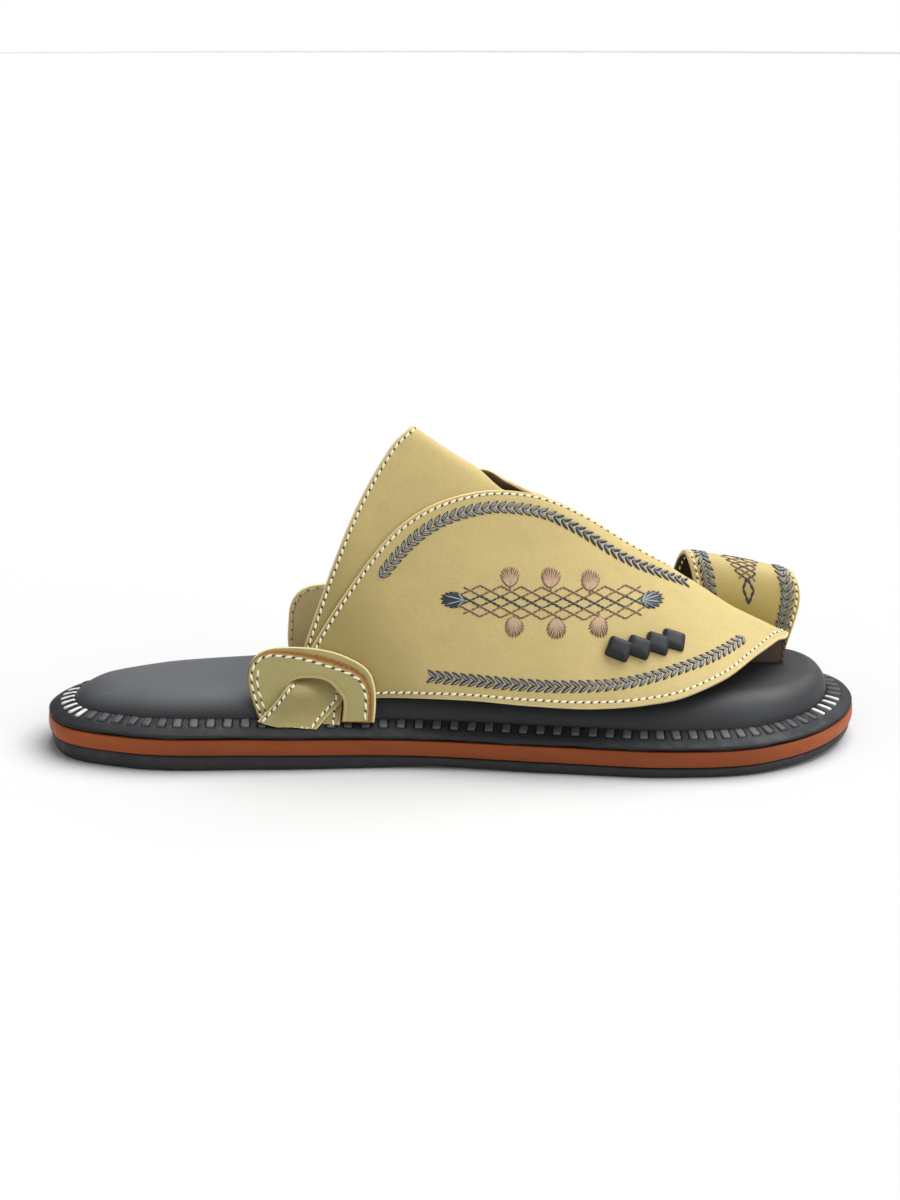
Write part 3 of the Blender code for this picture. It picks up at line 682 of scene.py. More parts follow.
class Sheet:
    """A piece of leather drawn between two edges and laid in place.

    Places count the rows of its table, share runs from its first edge to its second edge and lift is
    the height above its own base.
    """

    def __init__(self, rows, lay, low, high, deep=False):
        self.rows = rows
        self.lay = lay
        self.low = low
        self.high = high
        self.second_inset = (sizes().deep_inset if deep else sizes().seam_inset) / MM

    def width(self, place):
        """Length across, from edge to edge."""
        share = np.linspace(0, 1, 13)[None, :]
        points = self.lay(np.asarray(place, float)[:, None] + 0 * share, share, self.high(place)[:, None])
        return np.linalg.norm(np.diff(points, axis=1), axis=2).sum(1)

    def length(self):
        """Row places at even small steps, and the distance walked along the middle."""
        place = np.linspace(0, self.rows - 1, 400)
        points = self.lay(place, np.full(400, 0.5), self.high(place))
        return place, path_run(points)

    def grid(self, step):
        """Row places, shares across and each point's distance from both edges and from the ends."""
        fine, run = self.length()
        total = run[-1]
        count = max(int((total - 2 * EDGE_STEPS[-1]) / step), 2)
        even = np.linspace(EDGE_STEPS[-1], total - EDGE_STEPS[-1], count + 1)[1:-1]
        walked = np.concatenate([EDGE_STEPS, even, total - EDGE_STEPS[::-1]])
        place = np.interp(walked, run, fine)
        width = self.width(place)
        columns = max(int((width.mean() - 2 * EDGE_STEPS[-1]) / step), 2)
        rim = EDGE_STEPS[None, :] / width[:, None]
        middle = np.linspace(0, 1, columns + 1)[None, 1:-1]
        middle = rim[:, -1:] + (1 - 2 * rim[:, -1:]) * middle
        share = np.hstack([rim, middle, 1 - rim[:, ::-1]])
        ends = np.minimum(walked, total - walked)[:, None] + 0 * share
        return place[:, None] + 0 * share, share, share * width[:, None], (1 - share) * width[:, None], ends

    def mesh(self, name, surfaces, step=1.7, sewn_edges=True, sewn_ends=False):
        """The closed sheet with rounded edges, a seam groove, a lining below and painted cut edges whose
        light colour runs onto the top face as a painted highlight.
        """
        place, share, first, second, ends = self.grid(step)
        near = np.minimum(np.minimum(first, second), ends)
        low, high = self.low(place), self.high(place)
        round_off = np.minimum(EDGE_ROUND, EDGE_ROUND_SHARE * (high - low))
        turn = 1 - np.clip(near / round_off, 0, 1)
        ease = round_off * (1 - np.sqrt(1 - turn ** 2))
        seam = sizes().seam_inset / MM
        groove = np.zeros_like(near)
        for sewn, away, inset in (
                (sewn_edges, first, seam), (sewn_edges, second, self.second_inset), (sewn_ends, ends, seam)):
            if sewn:
                groove = np.maximum(groove, np.exp(-((away - inset) / GROOVE_WIDTH) ** 2))
        top = self.lay(place, share, high - ease - GROOVE_DEPTH * groove)
        bottom = self.lay(place, share, low + ease)
        upper, under, rim = closed_faces(*place.shape)
        # top faces next to the edge take the edge colour: edge paint and a painted highlight
        paint_and_highlight_face = near.reshape(-1)[upper].mean(1) < PAINT_AND_HIGHLIGHT_REACH
        which = np.concatenate([np.where(paint_and_highlight_face, 2, 0), np.ones(len(under)), np.full(len(rim), 2)])
        # real wear near the sheet's edges, lighter in the nubuck
        worn = np.exp(-np.tile(near.reshape(-1), 2) / WEAR_REACH)
        points = np.vstack([top.reshape(-1, 3), bottom.reshape(-1, 3)])
        return mesh_object(name, points, np.vstack([upper, under, rim]), surfaces, which, worn)

    def line(self, side, inset, start, stop, under=False, count=500):
        """A path at a distance inside one edge or end, with the way out of the sheet at each point."""
        at = np.linspace(start, stop, count)
        if side in ("first", "second"):
            share = inset / self.width(at)
            share = share if side == "first" else 1 - share
            return self.walk(at, share, under)
        fine, run = self.length()
        walked = inset if side == "start" else run[-1] - inset
        return self.walk(np.full(count, np.interp(walked, run, fine)), at, under)

    def walk(self, place, share, under):
        """Points on the sheet's outer or lower face, with the way out from it."""
        face = self.low(place) if under else self.high(place)
        points = self.lay(place, share, face)
        up = surface_normal(lambda at, across: self.lay(at, across, face), place, share)
        out = self.lay(place, share, face + (-PROBE if under else PROBE)) - points
        return points, turned_out(up, out)


def level(value):
    return lambda place: np.full(np.shape(place), float(value))


def flap(table, offset, deep=False, skived=0.0):
    """A flap laid over the last; skived is how much thinner it gets towards its last rows."""
    leather = sizes().leather / MM

    def lay(place, share, lift):
        place, share, lift = np.broadcast_arrays(place, share, lift)
        x = table.at("upper_x", place) * (1 - share) + table.at("lower_x", place) * share
        wrap = table.at("upper_wrap", place) * (1 - share) + table.at("lower_wrap", place) * share
        return on_last(x, wrap, offset(x, share) + lift)
    return Sheet(
        len(table), lay, level(0), lambda place: leather - skived * fade(place, *SKIVE_ROWS), deep)


def side_place(x, z, side, lift):
    """A place drawn from the side and laid on one flank of the last."""
    if side > 0:
        x = x + MEDIAL_SHIFT
        z = EAR_FOOT + (z - EAR_FOOT) * MEDIAL_STRETCH
    return on_last(x, wrap_at(x, z, side), lift)


def tail(table, side):
    """The tail of a strap, run through the ear and down to the sole."""
    def lay(place, share, lift):
        place, share, lift = np.broadcast_arrays(place, share, lift)
        x = table.at("rear_x", place) * (1 - share) + table.at("front_x", place) * share
        z = table.at("rear_z", place) * (1 - share) + table.at("front_z", place) * share
        z = z - table.at("sag", place) * np.sin(math.pi * share)
        return side_place(x, z, side, lift + table.at("flare", place) * fade(share, 0.65, 0.2))
    return Sheet(len(table), lay, lambda p: table.at("low", p), lambda p: table.at("high", p), True)


def ear(side, low, high, reach=0.0, draw=0.0):
    """One layer of an ear; reach pushes its outer edge out and draw pulls both edges in."""
    def lay(place, share, lift):
        place, share, lift = np.broadcast_arrays(place, share, lift)
        outer = np.stack([EAR.at("outer_x", place), EAR.at("outer_z", place)], -1)
        inner = np.stack([EAR.at("inner_x", place), EAR.at("inner_z", place)], -1)
        away = unit(outer - inner)
        outer = outer + away * (EAR.at("reach", place) * reach - draw)[..., None]
        inner = inner + away * draw
        if side > 0:
            outer[..., 0] -= MEDIAL_REAR * fade(place, *MEDIAL_REAR_ROWS)
        drawn = outer * (1 - share[..., None]) + inner * share[..., None]
        return side_place(drawn[..., 0], drawn[..., 1], side, lift)
    return Sheet(len(EAR), lay, level(low), level(high))


def toe_loop():
    def lay(place, share, lift):
        return loop_point(*np.broadcast_arrays(place, share, lift))
    return Sheet(len(LOOP), lay, level(0), level(LOOP_WALL))


def ear_layers(side):
    """Back layer, raw middle layer and front layer of an ear."""
    base = LAYER + sizes().leather / MM + 2 * GAP
    half = (EAR_WALL - EAR_CORE) / 2
    back = ear(side, base, base + half, reach=1.0)
    core = ear(
        side, base + half - CORE_TUCK, base + half + EAR_CORE + CORE_TUCK, reach=CORE_REACH, draw=CORE_TUCK)
    front = ear(side, base + half + EAR_CORE, base + EAR_WALL)
    return back, core, front


# Sewing


class Spots:
    """Places of stitches: point, way along, way up and share of the full stitch size."""

    def __init__(self):
        self.points, self.along, self.up, self.size = [], [], [], []

    def add(self, points, along, up, size=(1.0, 1.0, 1.0)):
        points = np.atleast_2d(points)
        self.points.append(points)
        self.along.append(np.broadcast_to(along, points.shape))
        self.up.append(np.broadcast_to(up, points.shape))
        self.size.append(np.broadcast_to(size, points.shape))

    def add_run(self, ends, up, size=(1.0, 1.0, 1.0), full=1.0):
        """One stitch from each first end to each second end; full is the length of a whole stitch."""
        first, second = (np.atleast_2d(end) for end in ends)
        reach = np.linalg.norm(second - first, axis=1)
        scale = np.column_stack([reach / full * size[0], 0 * reach + size[1], 0 * reach + size[2]])
        self.add((first + second) / 2, second - first, up, scale)

    def columns(self):
        return (np.vstack(part) for part in (self.points, self.along, self.up, self.size))


def paced(points, up, pitch, phase=0.5):
    """Points at an even pitch along a path, with the way along and the way up."""
    run = path_run(points)
    count = max(int(round(run[-1] / pitch)), 1)
    at = (np.arange(count) + phase) * run[-1] / count
    step = 0.2

    def read(walked, part):
        return np.column_stack([np.interp(walked, run, part[:, i]) for i in range(3)])
    return read(at, points), unit(read(at + step, points) - read(at - step, points)), unit(read(at, up))


def node_link(tree, kind, **inputs):
    """A new node with its inputs linked to sockets or set to values."""
    return node_fill(tree, tree.nodes.new(kind), **inputs)


def node_fill(tree, node, **inputs):
    for name, value in inputs.items():
        socket = node.inputs[name.replace("_", " ")]
        if isinstance(value, bpy.types.NodeSocket):
            tree.links.new(value, socket)
        else:
            socket.default_value = value
    return node


def sewing_tree(shape):
    """Geometry nodes: one stitch on each spot, turned along the thread.

    The shape "thong" is a flat block and "stitch" is a lens.
    """
    tree = bpy.data.node_groups.get(shape)
    if tree:
        return tree
    tree = bpy.data.node_groups.new(shape, "GeometryNodeTree")
    tree.interface.new_socket("Spots", in_out="INPUT", socket_type="NodeSocketGeometry")
    for name in ("Length", "Width", "Height", "Unevenness"):
        tree.interface.new_socket(name, in_out="INPUT", socket_type="NodeSocketFloat")
    tree.interface.new_socket("Seed", in_out="INPUT", socket_type="NodeSocketInt")
    tree.interface.new_socket("Thread", in_out="INPUT", socket_type="NodeSocketMaterial")
    tree.interface.new_socket("Sewing", in_out="OUTPUT", socket_type="NodeSocketGeometry")
    given = tree.nodes.new("NodeGroupInput").outputs
    size = node_link(tree, "ShaderNodeCombineXYZ", X=given["Length"], Y=given["Width"], Z=given["Height"])
    if shape == "thong":
        block = node_link(tree, "GeometryNodeMeshCube", Size=size.outputs[0])
        block.inputs["Vertices X"].default_value = 3
        block.inputs["Vertices Y"].default_value = 3
        one = node_link(
            tree, "GeometryNodeSubdivisionSurface", Mesh=block.outputs["Mesh"], Level=1, Edge_Crease=0.3)
    else:
        ball = node_link(tree, "GeometryNodeMeshUVSphere", Segments=10, Rings=4, Radius=0.5)
        one = node_link(tree, "GeometryNodeTransform", Geometry=ball.outputs["Mesh"], Scale=size.outputs[0])
    read = {}
    for name in ("along", "up", "size"):
        read[name] = tree.nodes.new("GeometryNodeInputNamedAttribute")
        read[name].data_type = "FLOAT_VECTOR"
        read[name].inputs["Name"].default_value = name
    axes = tree.nodes.new("FunctionNodeAxesToRotation")
    axes.primary_axis, axes.secondary_axis = "X", "Z"
    tree.links.new(read["along"].outputs["Attribute"], axes.inputs["Primary Axis"])
    tree.links.new(read["up"].outputs["Attribute"], axes.inputs["Secondary Axis"])
    least = node_link(tree, "ShaderNodeMath")
    least.operation = "MULTIPLY"
    tree.links.new(given["Unevenness"], least.inputs[0])
    least.inputs[1].default_value = -1.0
    chance = tree.nodes.new("FunctionNodeRandomValue")
    chance.data_type = "FLOAT"
    ends = [s for s in chance.inputs if s.enabled]
    tree.links.new(least.outputs[0], ends[0])
    tree.links.new(given["Unevenness"], ends[1])
    tree.links.new(given["Seed"], ends[-1])
    swing = node_link(tree, "ShaderNodeCombineXYZ", Z=[s for s in chance.outputs if s.enabled][0])
    euler = node_link(tree, "FunctionNodeEulerToRotation", Euler=swing.outputs[0])
    turned = node_link(tree, "FunctionNodeRotateRotation", Rotation=axes.outputs[0])
    turned.rotation_space = "LOCAL"
    tree.links.new(euler.outputs[0], turned.inputs["Rotate By"])
    sewn = node_link(
        tree, "GeometryNodeInstanceOnPoints", Points=given["Spots"], Instance=one.outputs[0],
        Rotation=turned.outputs[0], Scale=read["size"].outputs["Attribute"])
    real = node_link(tree, "GeometryNodeRealizeInstances", Geometry=sewn.outputs[0])
    soft = node_link(tree, "GeometryNodeSetShadeSmooth", Geometry=real.outputs[0])
    dyed = node_link(tree, "GeometryNodeSetMaterial", Geometry=soft.outputs[0], Material=given["Thread"])
    tree.links.new(dyed.outputs[0], tree.nodes.new("NodeGroupOutput").inputs[0])
    return tree


def sew(name, spots, stitch, thread, node, unevenness=0.06, shape="stitch"):
    """A piece of sewing: stitch is its length, width and height in millimetres."""
    points, along, up, size = spots.columns()
    mesh = bpy.data.meshes.new(name)
    mesh.from_pydata(((points - MIDDLE) * MM).tolist(), [], [])
    for label, values in (("along", along), ("up", up), ("size", size)):
        layer = mesh.attributes.new(label, "FLOAT_VECTOR", "POINT")
        layer.data.foreach_set("vector", np.ascontiguousarray(values, np.float32).reshape(-1))
    piece = put(name, mesh)
    tree = sewing_tree(shape)
    sockets = {s.name: s.identifier for s in tree.interface.items_tree if s.in_out == "INPUT"}
    row = piece.modifiers.new("sewing", "NODES")
    row.node_group = tree
    values = dict(zip(("Length", "Width", "Height"), (part * MM for part in stitch)))
    values.update(Unevenness=unevenness, Seed=sizes().seed, Thread=thread)
    for label, value in values.items():
        row[sockets[label]] = value
    seen = bpy.context.evaluated_depsgraph_get()
    made = bpy.data.meshes.new_from_object(piece.evaluated_get(seen), depsgraph=seen)
    piece.modifiers.remove(row)
    piece.data = made
    made.name = name
    if not made.polygons:
        raise RuntimeError(name + " came out empty")
    return stand_for(piece, node)


# Finishes


class Finish:
    """A procedural material on the piece's own coordinates."""

    def __init__(self, name, colour, roughness, specular=0.5):
        self.base = tuple(colour)
        self.made = bpy.data.materials.new(name)
        self.made.use_nodes = True
        self.made.diffuse_color = (*colour, 1.0)
        self.tree = self.made.node_tree
        self.shader = self.tree.nodes["Principled BSDF"]
        self.set(Base_Color=(*colour, 1.0), Roughness=roughness, Specular_IOR_Level=specular)
        self.where = self.tree.nodes.new("ShaderNodeTexCoord").outputs["Object"]
        self.colour = None
        self.height = None

    def set(self, **inputs):
        node_fill(self.tree, self.shader, **inputs)
        return self

    def noise(self, size, detail=3.0, roughness=0.55, stretch=(1, 1, 1)):
        """Noise whose features are about this size in millimetres."""
        mapping = node_link(self.tree, "ShaderNodeMapping", Vector=self.where, Scale=stretch)
        node = node_link(
            self.tree, "ShaderNodeTexNoise", Vector=mapping.outputs[0], Scale=1 / (size * MM),
            Detail=detail, Roughness=roughness)
        return node.outputs["Fac"]

    def spread(self, factor, low, high, start=0.0, end=1.0):
        """A factor stretched between two values."""
        node = node_link(
            self.tree, "ShaderNodeMapRange", Value=factor, From_Min=low, From_Max=high, To_Min=start,
            To_Max=end)
        node.interpolation_type = "SMOOTHSTEP"
        return node.outputs[0]

    def slope(self, way, start, end):
        """A factor that rises from 0 to 1 along a way, between two distances in millimetres."""
        node = self.tree.nodes.new("ShaderNodeVectorMath")
        node.operation = "DOT_PRODUCT"
        self.tree.links.new(self.where, node.inputs[0])
        node.inputs[1].default_value = way
        low, high = min(start, end) * MM, max(start, end) * MM
        return self.spread(node.outputs["Value"], low, high, *((0.0, 1.0) if start < end else (1.0, 0.0)))

    def both(self, first, second):
        node = self.tree.nodes.new("ShaderNodeMath")
        node.operation = "MULTIPLY"
        self.tree.links.new(first, node.inputs[0])
        self.tree.links.new(second, node.inputs[1])
        return node.outputs[0]

    def tint(self, factor, colour):
        """Mixes another colour in by a factor."""
        node = self.tree.nodes.new("ShaderNodeMix")
        node.data_type = "RGBA"
        first, second, out = node.inputs[6], node.inputs[7], node.outputs[2]
        self.tree.links.new(factor, node.inputs[0])
        if self.colour is None:
            first.default_value = self.shader.inputs["Base Color"].default_value
        else:
            self.tree.links.new(self.colour, first)
        second.default_value = (*colour, 1.0)
        self.colour = out
        return self.set(Base_Color=out)

    def mottle(self, size, detail, low, high, amount, factor):
        """Patches of another shade of the finish's own colour, where a noise lies between low and high."""
        patches = self.spread(self.noise(size, detail), low, high, 0.0, amount)
        return self.tint(patches, shade(self.base, factor))

    def worn(self, low, high, amount, factor):
        """Another shade of the finish's own colour where the piece's wear and shade attribute is high: real
        wear at the straps' edges, painted shade at the midsole's edges.
        """
        node = self.tree.nodes.new("ShaderNodeAttribute")
        node.attribute_name = "worn"
        return self.tint(self.spread(node.outputs["Fac"], low, high, 0.0, amount), shade(self.base, factor))

    def rough(self, size, detail, start, end):
        """Roughness that wanders between two values."""
        return self.set(Roughness=self.spread(self.noise(size, detail), 0.3, 0.7, start, end))

    def bump(self, size, detail, strength, depth, roughness=0.55):
        """Relief of a depth in millimetres, with features of a size."""
        node = node_link(
            self.tree, "ShaderNodeBump", Strength=strength, Distance=depth * MM,
            Height=self.noise(size, detail, roughness))
        if self.height is not None:
            self.tree.links.new(self.height, node.inputs["Normal"])
        self.height = node.outputs["Normal"]
        return self.set(Normal=self.height)

    def sheen(self, weight, factor):
        """A soft shine in another shade of the finish's own colour."""
        tint = (*shade(self.base, factor), 1.0)
        return self.set(Sheen_Weight=weight, Sheen_Roughness=0.5, Sheen_Tint=tint)


def shade(colour, factor):
    return tuple(min(part * factor, 1.0) for part in colour)


def kept(make):
    """Gives the same material each time it is asked for."""
    def given():
        name = "sandal_" + make.__name__
        return bpy.data.materials.get(name) or make(name).made
    return given


def nubuck(name, colour):
    """Brushed leather: soft nap, slow clouds of darker tone and lighter edges from wear."""
    made = Finish(name, colour, 0.74, 0.28)
    made.mottle(38, 2, 0.38, 0.68, 0.55, 0.88)
    made.mottle(7, 4, 0.42, 0.72, 0.55, 0.88)
    made.mottle(0.8, 2, 0.40, 0.70, 0.55, 0.84)
    made.worn(0.2, 1.0, 0.35, 1.18)
    made.rough(3, 3, 0.68, 0.82)
    made.bump(0.32, 3, 0.42, 0.06, 0.6)
    made.bump(9, 2, 0.25, 0.20)
    return made.sheen(0.06, 1.3)


@kept
def khaki_nubuck(name):
    """Khaki nubuck, darker low on the toe loop, with painted shade towards the heel and lower down."""
    made = nubuck(name, colours().khaki)
    red, green, blue = made.base
    loop = made.both(made.slope(AHEAD, 78, 88), made.slope(ASIDE, 5, 9))
    low = made.both(loop, made.slope(UP, 57, 43))
    made.tint(low, (red * 0.82, green * 0.81, blue * 0.60))
    # painted shade: the straps darkened towards the heel and lower down, where less light falls
    return made.tint(made.slope((1.0, 0.0, 0.5), 14, -18), (red * 0.60, green * 0.60, blue * 0.52))


@kept
def olive_nubuck(name):
    return nubuck(name, colours().olive)


@kept
def tail_nubuck(name):
    return nubuck(name, colours().tail)


# Edge paint of the cut edges; where it reaches onto the top face it is a painted highlight along the rounded
# edge
@kept
def painted_edge(name):
    made = Finish(name, colours().edge, 0.55, 0.4)
    made.mottle(2.2, 3, 0.45, 0.75, 0.5, 0.72)
    return made.bump(0.35, 2, 0.3, 0.05)


@kept
def raw_core(name):
    made = Finish(name, colours().core, 0.85, 0.2)
    made.mottle(1.1, 4, 0.4, 0.7, 0.7, 0.45)
    return made.bump(0.5, 4, 0.7, 0.15)


@kept
def brown_lining(name):
    """Brown lining, with painted shade inside the toe loop."""
    made = Finish(name, colours().lining, 0.62, 0.4)
    made.mottle(12, 4, 0.40, 0.70, 0.6, 0.62)
    # painted shade on the lining under the toe loop's arch
    loop = made.both(made.slope(AHEAD, 70, 80), made.slope(UP, 32, 42))
    made.tint(loop, shade(made.base, 0.40))
    made.rough(4, 3, 0.55, 0.72)
    return made.bump(0.9, 4, 0.35, 0.10, 0.6)


# Inner faces of the ears, made light as painted light for the inner ear, which lies in shade
@kept
def ear_lining(name):
    made = Finish(name, colours().ear_lining, 0.7, 0.3)
    made.mottle(8, 3, 0.40, 0.70, 0.5, 0.82)
    return made.bump(0.5, 3, 0.3, 0.06)


@kept
def padded_footbed(name):
    """Slate leather, with painted light on top towards the heel."""
    made = Finish(name, colours().pad, 0.56, 0.36)
    made.mottle(45, 2, 0.40, 0.68, 0.5, 0.80)
    made.mottle(1.3, 3, 0.66, 0.78, 0.35, 2.2)
    # painted light: the top of the pad towards the heel made lighter, as if more light falls there
    painted_light_heel_top = made.both(made.slope(AHEAD, -15, -70), made.slope(UP, 17, 24))
    made.tint(painted_light_heel_top, shade(made.base, 3.3))
    made.rough(14, 3, 0.52, 0.64)
    made.bump(0.55, 3, 0.16, 0.06)
    return made.bump(16, 2, 0.12, 0.35)


@kept
def rim_leather(name):
    made = Finish(name, colours().rim, 0.58, 0.26)
    made.mottle(6, 4, 0.45, 0.75, 0.5, 1.7)
    made.rough(5, 3, 0.50, 0.68)
    made.bump(0.7, 3, 0.25, 0.08)
    return made.bump(5.5, 2, 0.25, 0.30)


@kept
def orange_band(name):
    """Painted midsole, with painted light at heel and toe, streaked, and with painted shade along its top
    and bottom edges.
    """
    made = Finish(name, colours().band, 0.50, 0.25)
    # painted light: the band's heel and toe ends made brighter
    made.tint(made.slope(AHEAD, -95, -132), shade(made.base, 1.45))
    made.tint(made.slope(AHEAD, 100, 132), shade(made.base, 1.40))
    streak = made.noise(5, 4, stretch=(0.25, 0.25, 1.6))
    made.tint(made.spread(streak, 0.42, 0.70, 0.0, 0.40), shade(made.base, 0.72))
    made.mottle(1.4, 5, 0.66, 0.80, 0.5, 0.45)
    # painted shade: the band darkened along its top and bottom edges, where it meets the rim and the outsole
    made.worn(0.25, 0.95, 0.85, 0.22)
    made.rough(8, 3, 0.44, 0.58)
    return made.bump(1.0, 3, 0.18, 0.08)


@kept
def black_rubber(name):
    made = Finish(name, colours().rubber, 0.58, 0.5)
    made.mottle(9, 4, 0.45, 0.72, 0.6, 1.9)
    made.rough(5, 3, 0.50, 0.68)
    return made.bump(0.8, 3, 0.25, 0.10)


def thread(name, colour, roughness):
    """Twisted thread with a soft shine."""
    made = Finish(name, colour, roughness, 0.4)
    made.mottle(0.35, 2, 0.42, 0.66, 0.55, 0.62)
    made.bump(0.22, 2, 0.55, 0.08)
    return made.sheen(0.15, 1.4)


@kept
def cream_thread(name):
    return thread(name, colours().cream, 0.62)


@kept
def slate_thread(name):
    return thread(name, colours().slate_thread, 0.42)


@kept
def silver_thread(name):
    return thread(name, colours().silver_thread, 0.36)


@kept
def rose_thread(name):
    return thread(name, colours().rose_thread, 0.42)


@kept
def brown_thread(name):
    return thread(name, colours().brown_thread, 0.5)


# Painted shade: dark marks for the shade inside needle holes
@kept
def needle_hole(name):
    made = Finish(name, colours().hole, 0.9, 0.1)
    return made.mottle(0.3, 2, 0.4, 0.7, 0.6, 2.2)


def thong(name, colour):
    """Flat leather thong of the lacing."""
    made = Finish(name, colour, 0.55, 0.32)
    made.mottle(1.6, 3, 0.42, 0.72, 0.45, 0.65)
    return made.bump(0.5, 3, 0.3, 0.08)


@kept
def dark_thong(name):
    return thong(name, colours().dark_thong)


@kept
def grey_thong(name):
    return thong(name, colours().thong)


@kept
def pale_thong(name):
    return thong(name, colours().pale_thong)


@kept
def slate_stud(name):
    made = Finish(name, colours().stud, 0.52, 0.30)
    made.mottle(2.5, 3, 0.4, 0.7, 0.5, 0.75)
    made.rough(1.5, 2, 0.46, 0.60)
    return made.bump(0.4, 3, 0.2, 0.06)


@kept
def studio_floor(name):
    return Finish(name, colours().floor, 1.0, 0.0)


@kept
def studio_wall(name):
    made = Finish(name, (0.0, 0.0, 0.0), 1.0, 0.0)
    return made.set(Emission_Color=(1.0, 1.0, 1.0, 1.0), Emission_Strength=1.0)


def strap_finish():
    return khaki_nubuck(), brown_lining(), painted_edge()


def ear_finish():
    return olive_nubuck(), ear_lining(), painted_edge()


def tail_finish():
    return tail_nubuck(), brown_lining(), painted_edge()


# Operators


def side_loops(side, edge, inward, low, high, steps):
    """Loops of a sole layer's side, from bottom to top, with their share of the height."""
    place = np.linspace(0, len(side) - 1, steps)
    loops, shares = [], np.clip(side.at("share", place), 0, 1)
    for inset, share in zip(side.at("inset", place), shares):
        loop = edge + inward * inset
        x = loop[:, 0]
        loops.append(np.column_stack([loop, low(x) + (high(x) - low(x)) * share]))
    return loops, shares


def tread(x, y):
    """The underside with shallow ribs across it, plain by the edge."""
    turn = 2 * math.pi * x / TREAD_PITCH
    wave = np.cos(turn) - TREAD_FLATNESS * np.cos(2 * turn)
    inside = fade(edge_distance(x, y), TREAD_INSET - TREAD_FADE, TREAD_INSET)
    return ground(x) + TREAD_DEPTH * fade(wave, *TREAD_FLANK) * inside


class SANDAL_OT_sole(bpy.types.Operator):
    """Outsole with a ribbed underside, and the midsole band with its side bulge"""

    bl_idname = "sandal.sole"
    bl_label = "Sole"

    # Share of the band's height at its top and bottom that gets painted shade
    WORN_SHARE = 0.10

    def execute(self, context):
        edge, inward = sole_edge(SOLE_STEPS, EDGE_FINE)
        loops, _ = side_loops(OUTSOLE_SIDE, edge, inward, ground, outsole_top, 14)
        points, faces, _ = closed_stack(loops[::-1], 26, tread, 6, lambda x, y: outsole_top(x))
        outsole = mesh_object("outsole_rubber", points, faces, [black_rubber()])
        stand_for(outsole, "outsole")
        loops, shares = side_loops(
            MIDSOLE_SIDE, edge, inward, lambda x: outsole_top(x) + GAP, midsole_top, 16)
        points, faces, _ = closed_stack(
            loops[::-1], 6, lambda x, y: outsole_top(x) + GAP, 6, lambda x, y: midsole_top(x))
        rows = np.repeat(shares[::-1], len(edge))
        # painted shade at the band's top and bottom edges, kept in the wear and shade attribute
        worn = np.zeros(len(points))
        worn[:len(rows)] = np.maximum(
            fade(rows, self.WORN_SHARE, 0.0), fade(rows, 1 - self.WORN_SHARE, 1.0))
        midsole = mesh_object("midsole_band", points, faces, [orange_band()], None, worn)
        stand_for(midsole, "midsole")
        return {"FINISHED"}


def thong_phase(edge):
    """How far each edge place is from the middle of its nearest lacing pass, and the passes' own run."""
    run = path_run(np.vstack([edge, edge[:1]]))
    count = int(round(run[-1] * MM / sizes().thong_pitch))
    pitch = run[-1] / count
    away = (run[:-1] / pitch) % 1.0 - 0.5
    return np.abs(away) * pitch, (np.arange(count) + 0.5) * pitch, run


class SANDAL_OT_insole(bpy.types.Operator):
    """Insole: a sloping rim with pockets for the lacing, and the padded footbed"""

    bl_idname = "sandal.insole"
    bl_label = "Insole"

    # Pockets of the lacing: depth, fading beside and at the outer end of each pass, and first row of the rim
    POCKET_DEPTH, POCKET_SIDE, POCKET_END, POCKET_ROW = 0.75, (0.55, 0.15), (-0.35, 0.1), 2
    # Waves of the rim's outer edge: height, length and start, and the row where they end
    WAVES, WAVE_END = ((0.16, 6.1, 0.0), (0.12, 2.3, 1.0)), 2.5
    # Loops of the footbed's shoulder: distance in from the rim
    SHOULDER = (0.12, 0.3, 0.6, 1.0, 1.6, 2.4, 3.4, 4.8, 6.6)

    def execute(self, context):
        edge, inward = sole_edge(RIM_STEPS, EDGE_FINE)
        away, _, run = thong_phase(edge)
        half = sizes().thong_width / MM / 2
        pocket = fade(away, *(half + room for room in self.POCKET_SIDE))
        mouth = [PAD_INSET - sizes().thong_length / MM + room for room in self.POCKET_END]
        wave = sum(high * np.sin(run[:-1] / long + start) for high, long, start in self.WAVES)
        loops = []
        for row in np.concatenate([np.linspace(0, 4, 17), np.linspace(4, 6, 17)[1:]]):
            inset, rise = float(RIM.at("inset", row)), float(RIM.at("rise", row))
            loop = edge + inward * inset
            depth = fade(inset, *mouth) * self.POCKET_DEPTH * (row > self.POCKET_ROW)
            wavy = wave * max(1 - row / self.WAVE_END, 0.0)
            z = midsole_top(loop[:, 0]) + GAP + rise - pocket * depth + wavy
            loops.append(np.column_stack([loop, z]))
        rim_points = len(loops) * len(edge)
        for step in self.SHOULDER:
            loop = edge + inward * (PAD_INSET + step)
            loops.append(np.column_stack([loop, insole_top(loop[:, 0], loop[:, 1], PAD_INSET + step)]))
        points, faces, before = closed_stack(
            loops, 24, insole_top, 4, lambda x, y: midsole_top(x) + GAP)
        last = np.array([max(face) for face in faces])
        which = np.where((last < rim_points) | (last >= before), 1, 0)
        insole = mesh_object("insole_footbed", points, faces, [padded_footbed(), rim_leather()], which)
        stand_for(insole, "insole")
        return {"FINISHED"}


